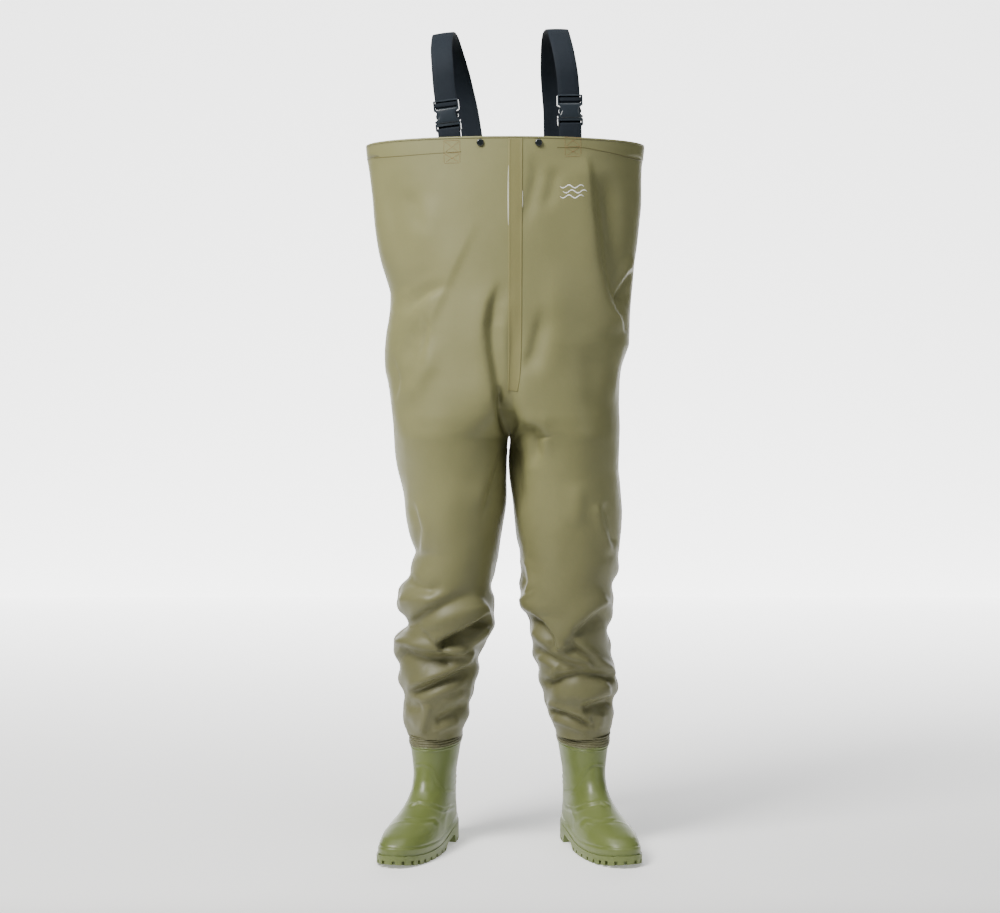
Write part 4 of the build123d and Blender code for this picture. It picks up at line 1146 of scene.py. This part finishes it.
# rim: two beads
for zc, hh, ww in ((188.6, 1.5, 1.7), (183.4, 1.1, 1.3)):
    bf += hh * np.exp(-((BZ - zc) / ww) ** 2)
bf += 0.25 * np.sin(TH * 3 + BZ * 0.05) * sstep(100, 160, BZ)
BP = BP + BN * bf[..., None] / 1000
BP[..., 2] = np.maximum(BP[..., 2], (top - 1.0) / 1000)
inner = BP - ring_normals(BP) * 0.0029
inner[..., 2] = np.maximum(inner[..., 2], (top + 0.2) / 1000)
nb = len(bz)
V = np.concatenate([BP.reshape(-1, 3), inner.reshape(-1, 3)])
F = np.concatenate([grid_faces(nb, BC, close=True), grid_faces(nb, BC, close=True, base=nb * BC, flip=True)])
k = np.arange(BC)
k2 = (k + 1) % BC
topr = np.stack([(nb - 1) * BC + k, (nb - 1) * BC + k2, nb * BC + (nb - 1) * BC + k2, nb * BC + (nb - 1) * BC + k], -1)
botr = np.stack([k2, k, nb * BC + k, nb * BC + k2], -1)
F = np.concatenate([F, topr, botr])


def mirrored(name_r, V, F, mats, body, repl, outward, uvs=None):
    for side in ("right", "left"):
        v = np.array(V, float)
        f = np.array(F) if not isinstance(F, list) else F
        if side == "left":
            v = v * np.array([-1, 1, 1])
        ob = mesh_object(f"{name_r}_{side}", v, f, uvs=uvs, mats=mats)
        me = ob.data
        p = me.polygons[outward]
        c = np.array(p.center)
        ref = np.array([(-0.1385 if side == "right" else 0.1385), 0.043, c[2]])
        if np.dot(np.array(p.normal), c - ref) < 0:
            me.flip_normals()
        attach(ob, f"{body}_{side}")
        if repl:
            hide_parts(*[f"{r}_{side}" for r in repl])


mirrored("boot", V, F, [BOOT_M], "boot", ["boot_upper"], (nb - 30) * BC + 10)

# ribbed band between the boot's rim and the leg
rz = np.linspace(188.5, 208, 56)
TH2, RZ = np.meshgrid(np.linspace(0, 2 * math.pi, 240, endpoint=False), rz)
t = (RZ - 188.5) / 19.5
X, Uu2 = boot_point(np.full(RZ.size, 192.0), TH2.ravel(), 0.9)
X, Uu2 = X.reshape(RZ.shape), Uu2.reshape(RZ.shape)
RB = to_world(X, Uu2, RZ - 0.085 * (Uu2 + 2) * 1.0)
RN = ring_normals(RB)
zig = 0.9 * np.abs(((TH2 * 34 / math.pi) % 2) - 1)
rib = 0.75 * np.cos((t * 4.0 + zig * 0.16) * 2 * math.pi) * sstep(0.0, 0.1, t) + 0.5 + 1.2 * sstep(0.78, 1.0, t)
RB = RB + RN * (rib[..., None] / 1000)
RI = RB - RN * 0.0026
nr2, nc2 = RZ.shape
V = np.concatenate([RB.reshape(-1, 3), RI.reshape(-1, 3)])
F = np.concatenate([grid_faces(nr2, nc2, close=True), grid_faces(nr2, nc2, close=True, base=nr2 * nc2, flip=True)])
k = np.arange(nc2); k2 = (k + 1) % nc2
F = np.concatenate([F, np.stack([(nr2 - 1) * nc2 + k, (nr2 - 1) * nc2 + k2, nr2 * nc2 + (nr2 - 1) * nc2 + k2, nr2 * nc2 + (nr2 - 1) * nc2 + k], -1), np.stack([k2, k, nr2 * nc2 + k, nr2 * nc2 + k2], -1)])
mirrored("ribbed_band", V, F, [BAND], "boot", ["boot_seam_band"], 20 * nc2 + 10)

# ------------------------------------------------------------------ inner pocket and back patches
PZ0, PZ1 = 1.1763, 1.2938
pv = np.concatenate([np.linspace(PZ1, PZ1 - 0.022, 16)[:-1], np.linspace(PZ1 - 0.022, PZ0 + 0.012, 44)[:-1], PZ0 + 0.012 * (1 - np.sin(np.linspace(0, math.pi / 2, 14)))])
pth = np.linspace(0, 2 * math.pi, 120, endpoint=False)
PT, PV = np.meshgrid(pth, pv)
corner = np.clip((PZ0 + 0.012 - PV) / 0.012, 0, 1)
half_w = 0.0745 - 0.0105 * (1 - np.sqrt(np.clip(1 - corner ** 2, 0, 1)))
half_t = 0.00415 * (0.12 + 0.88 * np.sqrt(np.clip(1 - corner ** 2, 0, 1)))
half_t = half_t * (0.80 + 0.20 * np.sin(np.clip((PV - PZ0) / (PZ1 - PZ0), 0, 1) * math.pi))
cx_, sy_ = np.cos(PT), np.sin(PT)
PX = half_w * np.sign(cx_) * np.abs(cx_) ** 0.30
PY = half_t * np.sign(sy_) * np.abs(sy_) ** 0.55
rng = np.random.default_rng(5)
wob = 0.00035 * np.sin(PX * 120 + PV * 90) + 0.00025 * np.sin(PX * 65 - PV * 160 + 1.3)
hemp = 0.0005 * sstep(PZ1 - 0.0185, PZ1 - 0.0172, PV) - 0.00035 * np.exp(-((PV - PZ1 + 0.0185) / 0.0009) ** 2) - 0.0003 * np.exp(-((PV - PZ1 + 0.004) / 0.0009) ** 2)
outer = np.stack([PX, -0.0955 + PY + np.sign(sy_) * np.abs(sy_) ** 0.4 * hemp + wob * np.abs(sy_), PV], -1)
inner_ = np.stack([PX * (1 - 0.0012 / 0.0745), -0.0955 + PY * 0.66 + wob * np.abs(sy_), np.maximum(PV, PZ0 + 0.0016)], -1)
nr_, nc_ = PT.shape
V = np.concatenate([outer.reshape(-1, 3), inner_.reshape(-1, 3)])
F = np.concatenate([grid_faces(nr_, nc_, close=True), grid_faces(nr_, nc_, close=True, base=nr_ * nc_, flip=True)])
k = np.arange(nc_); k2 = (k + 1) % nc_
F = np.concatenate([F, np.stack([k2, k, nr_ * nc_ + k, nr_ * nc_ + k2], -1)])
F = [tuple(int(i) for i in f) for f in F] + [tuple(int((nr_ - 1) * nc_ + i) for i in range(nc_)), tuple(int(nr_ * nc_ + (nr_ - 1) * nc_ + i) for i in range(nc_))[::-1]]
pk = mesh_object("pocket_pouch", V, F, mats=[FAB])
c = pk.data.polygons[nc_ * 30 + nc_ // 4]
if np.dot(np.array(c.normal), [0, np.sign(c.center[1] + 0.0955), 0]) < 0:
    pk.data.flip_normals()
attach(pk, "pocket"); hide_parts("inner_pocket")


def dashes(name, lines, place, body):
    """Row of short stitches along each line; place(a, b, lift) gives the point on the cloth."""
    V, F = [], []
    for a, b in lines:
        a, b = np.array(a, float), np.array(b, float)
        ln = np.linalg.norm(b - a)
        n = max(2, int(ln / 0.0034))
        d = (b - a) / ln
        q = np.array([-d[1], d[0]])
        for i in range(n):
            m = a + d * ln * (i + 0.5) / n
            base = len(V)
            for lift, hw in ((0.0, 0.00032), (0.00035, 0.0002)):
                for e, f in ((-1, -1), (1, -1), (1, 1), (-1, 1)):
                    p = m + d * e * 0.00125 + q * f * hw
                    V.append(place(p[0], p[1], lift))
            F += [(base + 3, base + 2, base + 1, base), (base + 4, base + 5, base + 6, base + 7)] + [(base + i0, base + (i0 + 1) % 4, base + 4 + (i0 + 1) % 4, base + 4 + i0) for i0 in range(4)]
    ob = mesh_object(name, V, F, mats=[THREAD])
    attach(ob, body)
    return ob


for face, sg in (("front", -1), ("back", 1)):
    dashes(f"pocket_stitching_{face}", [((-0.068, PZ1 - 0.0168), (0.068, PZ1 - 0.0168)), ((-0.0700, PZ1 - 0.021), (-0.0700, PZ0 + 0.012)), ((0.0700, PZ1 - 0.021), (0.0700, PZ0 + 0.012)), ((-0.064, PZ0 + 0.0085), (0.064, PZ0 + 0.0085))],
           lambda a, b, l, sg=sg: (a, -0.0955 + sg * (float(np.interp(abs(a), [0, 0.060, 0.068, 0.0710, 0.0745], [0.0041, 0.0038, 0.0031, 0.0026, 0.0])) * (0.80 + 0.2 * math.sin(min(1, max(0, (b - PZ0) / (PZ1 - PZ0))) * math.pi)) * (1.0 if b > PZ0 + 0.012 else 0.93) + 0.0004 + l), b), "pocket")

for side in ("right", "left"):
    origin, across, lift, crest = STRAPS[side]
    U = np.array(across) / np.linalg.norm(across)
    Vv = np.array([0, 0, 1.0]) - U * U[2]
    Vv /= np.linalg.norm(Vv)
    W = np.cross(U, Vv)
    o = np.array(origin) + np.array([BACK_SHIFT[side], 0, 0])
    ua = np.linspace(-0.023, 0.023, 47)
    va = np.linspace(-0.039, -0.0012, 39)
    UA, VA = np.meshgrid(ua, va)
    ed = np.minimum(np.minimum(0.023 - np.abs(UA), VA + 0.039), -0.0012 - VA)
    rise = 0.0007 * sstep(-0.0002, 0.0011, ed) + 0.0002 * sstep(0.002, 0.0028, ed) - 0.0003 * np.exp(-((ed - 0.0035) / 0.0006) ** 2)
    wv = 0.0003 * np.sin(UA * 240 + 1) * np.cos(VA * 200)
    place = lambda S: o - W * S[..., None] + U * UA[..., None] + Vv * VA[..., None]
    f_in, f_out = place(0.2249 - rise + wv), place(0.2249 + rise + wv)
    n0 = UA.size
    ids = np.arange(n0).reshape(UA.shape)
    loop = np.concatenate([ids[0, :], ids[1:, -1], ids[-1, -2::-1], ids[-2:0:-1, 0]])
    nx = np.roll(loop, -1)
    F = np.concatenate([grid_faces(*UA.shape), grid_faces(*UA.shape, base=n0, flip=True), np.stack([nx, loop, loop + n0, nx + n0], -1)])
    pa = mesh_object(f"back_patch_{side}", np.concatenate([f_in.reshape(-1, 3), f_out.reshape(-1, 3)]), F, mats=[FAB])
    c = pa.data.polygons[19 * 46 + 23]
    if np.dot(np.array(c.normal), W) < 0:
        pa.data.flip_normals()
    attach(pa, "root"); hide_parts(f"back_strap_patch_{side}")
    dashes(f"patch_stitching_{side}", [((-0.017, -0.032), (0.017, -0.032)), ((0.017, -0.032), (0.017, -0.006)), ((0.017, -0.006), (-0.017, -0.006)), ((-0.017, -0.006), (-0.017, -0.032)),
                                       ((-0.017, -0.032), (0.017, -0.006)), ((0.017, -0.032), (-0.017, -0.006))],
           lambda a, b, l: tuple(o - W * (0.22205 - l) + U * a + Vv * b), "root")
    # crowned face of the buckle's female half
    o = np.array(origin)
    ug, vg = np.meshgrid(np.linspace(-1, 1, 45), np.linspace(-1, 1, 41))
    vv = vg * 0.0128
    hw = 0.0192 - 0.0040 * np.exp(-((vv - 0.0007) / 0.0066) ** 2)
    uu = ug * hw
    hgt = (0.00155 - 0.0007 * vg ** 2) * (1 - np.abs(ug) ** 5) ** 0.5 * (1 - np.abs(vg) ** 8) ** 0.5 + 0.0001
    base = o + U * uu[..., None] + Vv * (vv + lift + 0.0268)[..., None] + W * 0.0049
    P_ = base
    N_ = np.broadcast_to(W, P_.shape)
    top_, bot_ = P_ + W * hgt[..., None], P_ - W * 0.0003
    n0 = uu.size
    ids = np.arange(n0).reshape(uu.shape)
    loop = np.concatenate([ids[0, :], ids[1:, -1], ids[-1, -2::-1], ids[-2:0:-1, 0]])
    nx = np.roll(loop, -1)
    F = np.concatenate([grid_faces(*uu.shape), grid_faces(*uu.shape, base=n0, flip=True), np.stack([nx, loop, loop + n0, nx + n0], -1)])
    bf_ = mesh_object(f"buckle_face_{side}", np.concatenate([top_.reshape(-1, 3), bot_.reshape(-1, 3)]), F, mats=[BUCK])
    if np.dot(np.array(bf_.data.polygons[20 * 44 + 22].normal), W) < 0:
        bf_.data.flip_normals()
    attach(bf_, f"socket_{side}")

# ------------------------------------------------------------------ materials of the carried-over CAD pieces
FINISH = {"buckle_plug": BUCK, "buckle_prong": BUCK, "buckle_socket": BUCK, "boot_outsole": SOLE_M, "boot_insole": INS_M, "boot_lining": LIN_M,
          "snap_caps": SNAP_M, "snap_washers": STEEL_M, "pocket_snap_sockets": STEEL_M}
for n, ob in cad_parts.items():
    for key, mat in FINISH.items():
        if n.startswith(key):
            if len(ob.material_slots) == 0:
                ob.data.materials.append(mat)
            for sl in ob.material_slots:
                sl.material = mat

# ------------------------------------------------------------------ floor, light
me = bpy.data.meshes.new("floor")
me.from_pydata([(-3.2, -3.2, 0), (3.2, -3.2, 0), (3.2, 4.5, 0), (-3.2, 4.5, 0)], [], [(0, 1, 2, 3)])
floor = bpy.data.objects.new("floor", me)
bpy.context.scene.collection.objects.link(floor)
fm, nt, b = new_mat("pale_floor")
b.inputs["Roughness"].default_value = 0.9
b.inputs["Specular IOR Level"].default_value = 0.1
# painted light: the floor glows with an emission that grows towards the backdrop, so it grows lighter there; its colour
# is dark in front
tc = nt.nodes.new("ShaderNodeTexCoord")
sep = nt.nodes.new("ShaderNodeSeparateXYZ")
link(nt, tc.outputs["Object"], sep.inputs[0])
mr = nt.nodes.new("ShaderNodeMapRange")
mr.interpolation_type = "SMOOTHSTEP"
mr.inputs["From Min"].default_value, mr.inputs["From Max"].default_value = -0.6, 3.6
mr.inputs["To Min"].default_value, mr.inputs["To Max"].default_value = 0.22, 2.6
link(nt, sep.outputs["Y"], mr.inputs["Value"])
b.inputs["Emission Color"].default_value = (1, 1, 1, 1)
link(nt, mr.outputs["Result"], b.inputs["Emission Strength"])
fr = nt.nodes.new("ShaderNodeMapRange")
fr.interpolation_type = "SMOOTHSTEP"
fr.inputs["From Min"].default_value, fr.inputs["From Max"].default_value = -0.9, -0.3
link(nt, sep.outputs["Y"], fr.inputs["Value"])
link(nt, ramp(nt, fr.outputs["Result"], [(0.0, (0.16, 0.16, 0.16)), (1.0, (0.94, 0.94, 0.94))]), b.inputs["Base Color"])
me.materials.append(fm)
floor.location.z = -0.0006

me = bpy.data.meshes.new("backdrop")
me.from_pydata([(-3.2, 4.5, -0.001), (3.2, 4.5, -0.001), (3.2, 4.5, 3.2), (-3.2, 4.5, 3.2)], [], [(0, 1, 2, 3)])
backdrop = bpy.data.objects.new("backdrop", me)
bpy.context.scene.collection.objects.link(backdrop)
bm_, nt, b = new_mat("pale_backdrop")
b.inputs["Base Color"].default_value = (0.9, 0.9, 0.9, 1)
b.inputs["Roughness"].default_value = 0.95
b.inputs["Specular IOR Level"].default_value = 0.0
b.inputs["Emission Color"].default_value = (1, 1, 1, 1)
b.inputs["Emission Strength"].default_value = 2.7
me.materials.append(bm_)

world = bpy.data.worlds.new("studio")
bpy.context.scene.world = world
world.use_nodes = True
world.node_tree.nodes["Background"].inputs["Color"].default_value = (0.92, 0.98, 1.0, 1)
world.node_tree.nodes["Background"].inputs["Strength"].default_value = 0.10


def area(name, loc, target, size, power, colour=(1, 1, 1), spread=180):
    d = bpy.data.lights.new(name, "AREA")
    d.shape = "RECTANGLE"
    d.size, d.size_y = size
    d.energy = power
    d.color = colour
    d.spread = math.radians(spread)
    o = bpy.data.objects.new(name, d)
    o.location = loc
    o.rotation_euler = (Vector(target) - Vector(loc)).to_track_quat("-Z", "Y").to_euler()
    bpy.context.scene.collection.objects.link(o)
    return o


area("key_left", (-1.75, -1.75, 3.05), (0, 0, 0.95), (1.2, 1.5), 195, (1.0, 0.985, 0.95))
area("fill_right", (3.0, -2.2, 1.8), (0, 0, 0.9), (1.6, 2.0), 19, (0.95, 0.98, 1.0))
area("top_soft", (0, -0.9, 3.6), (0, 0, 0.6), (2.4, 2.0), 45)

bpy.context.view_layer.update()
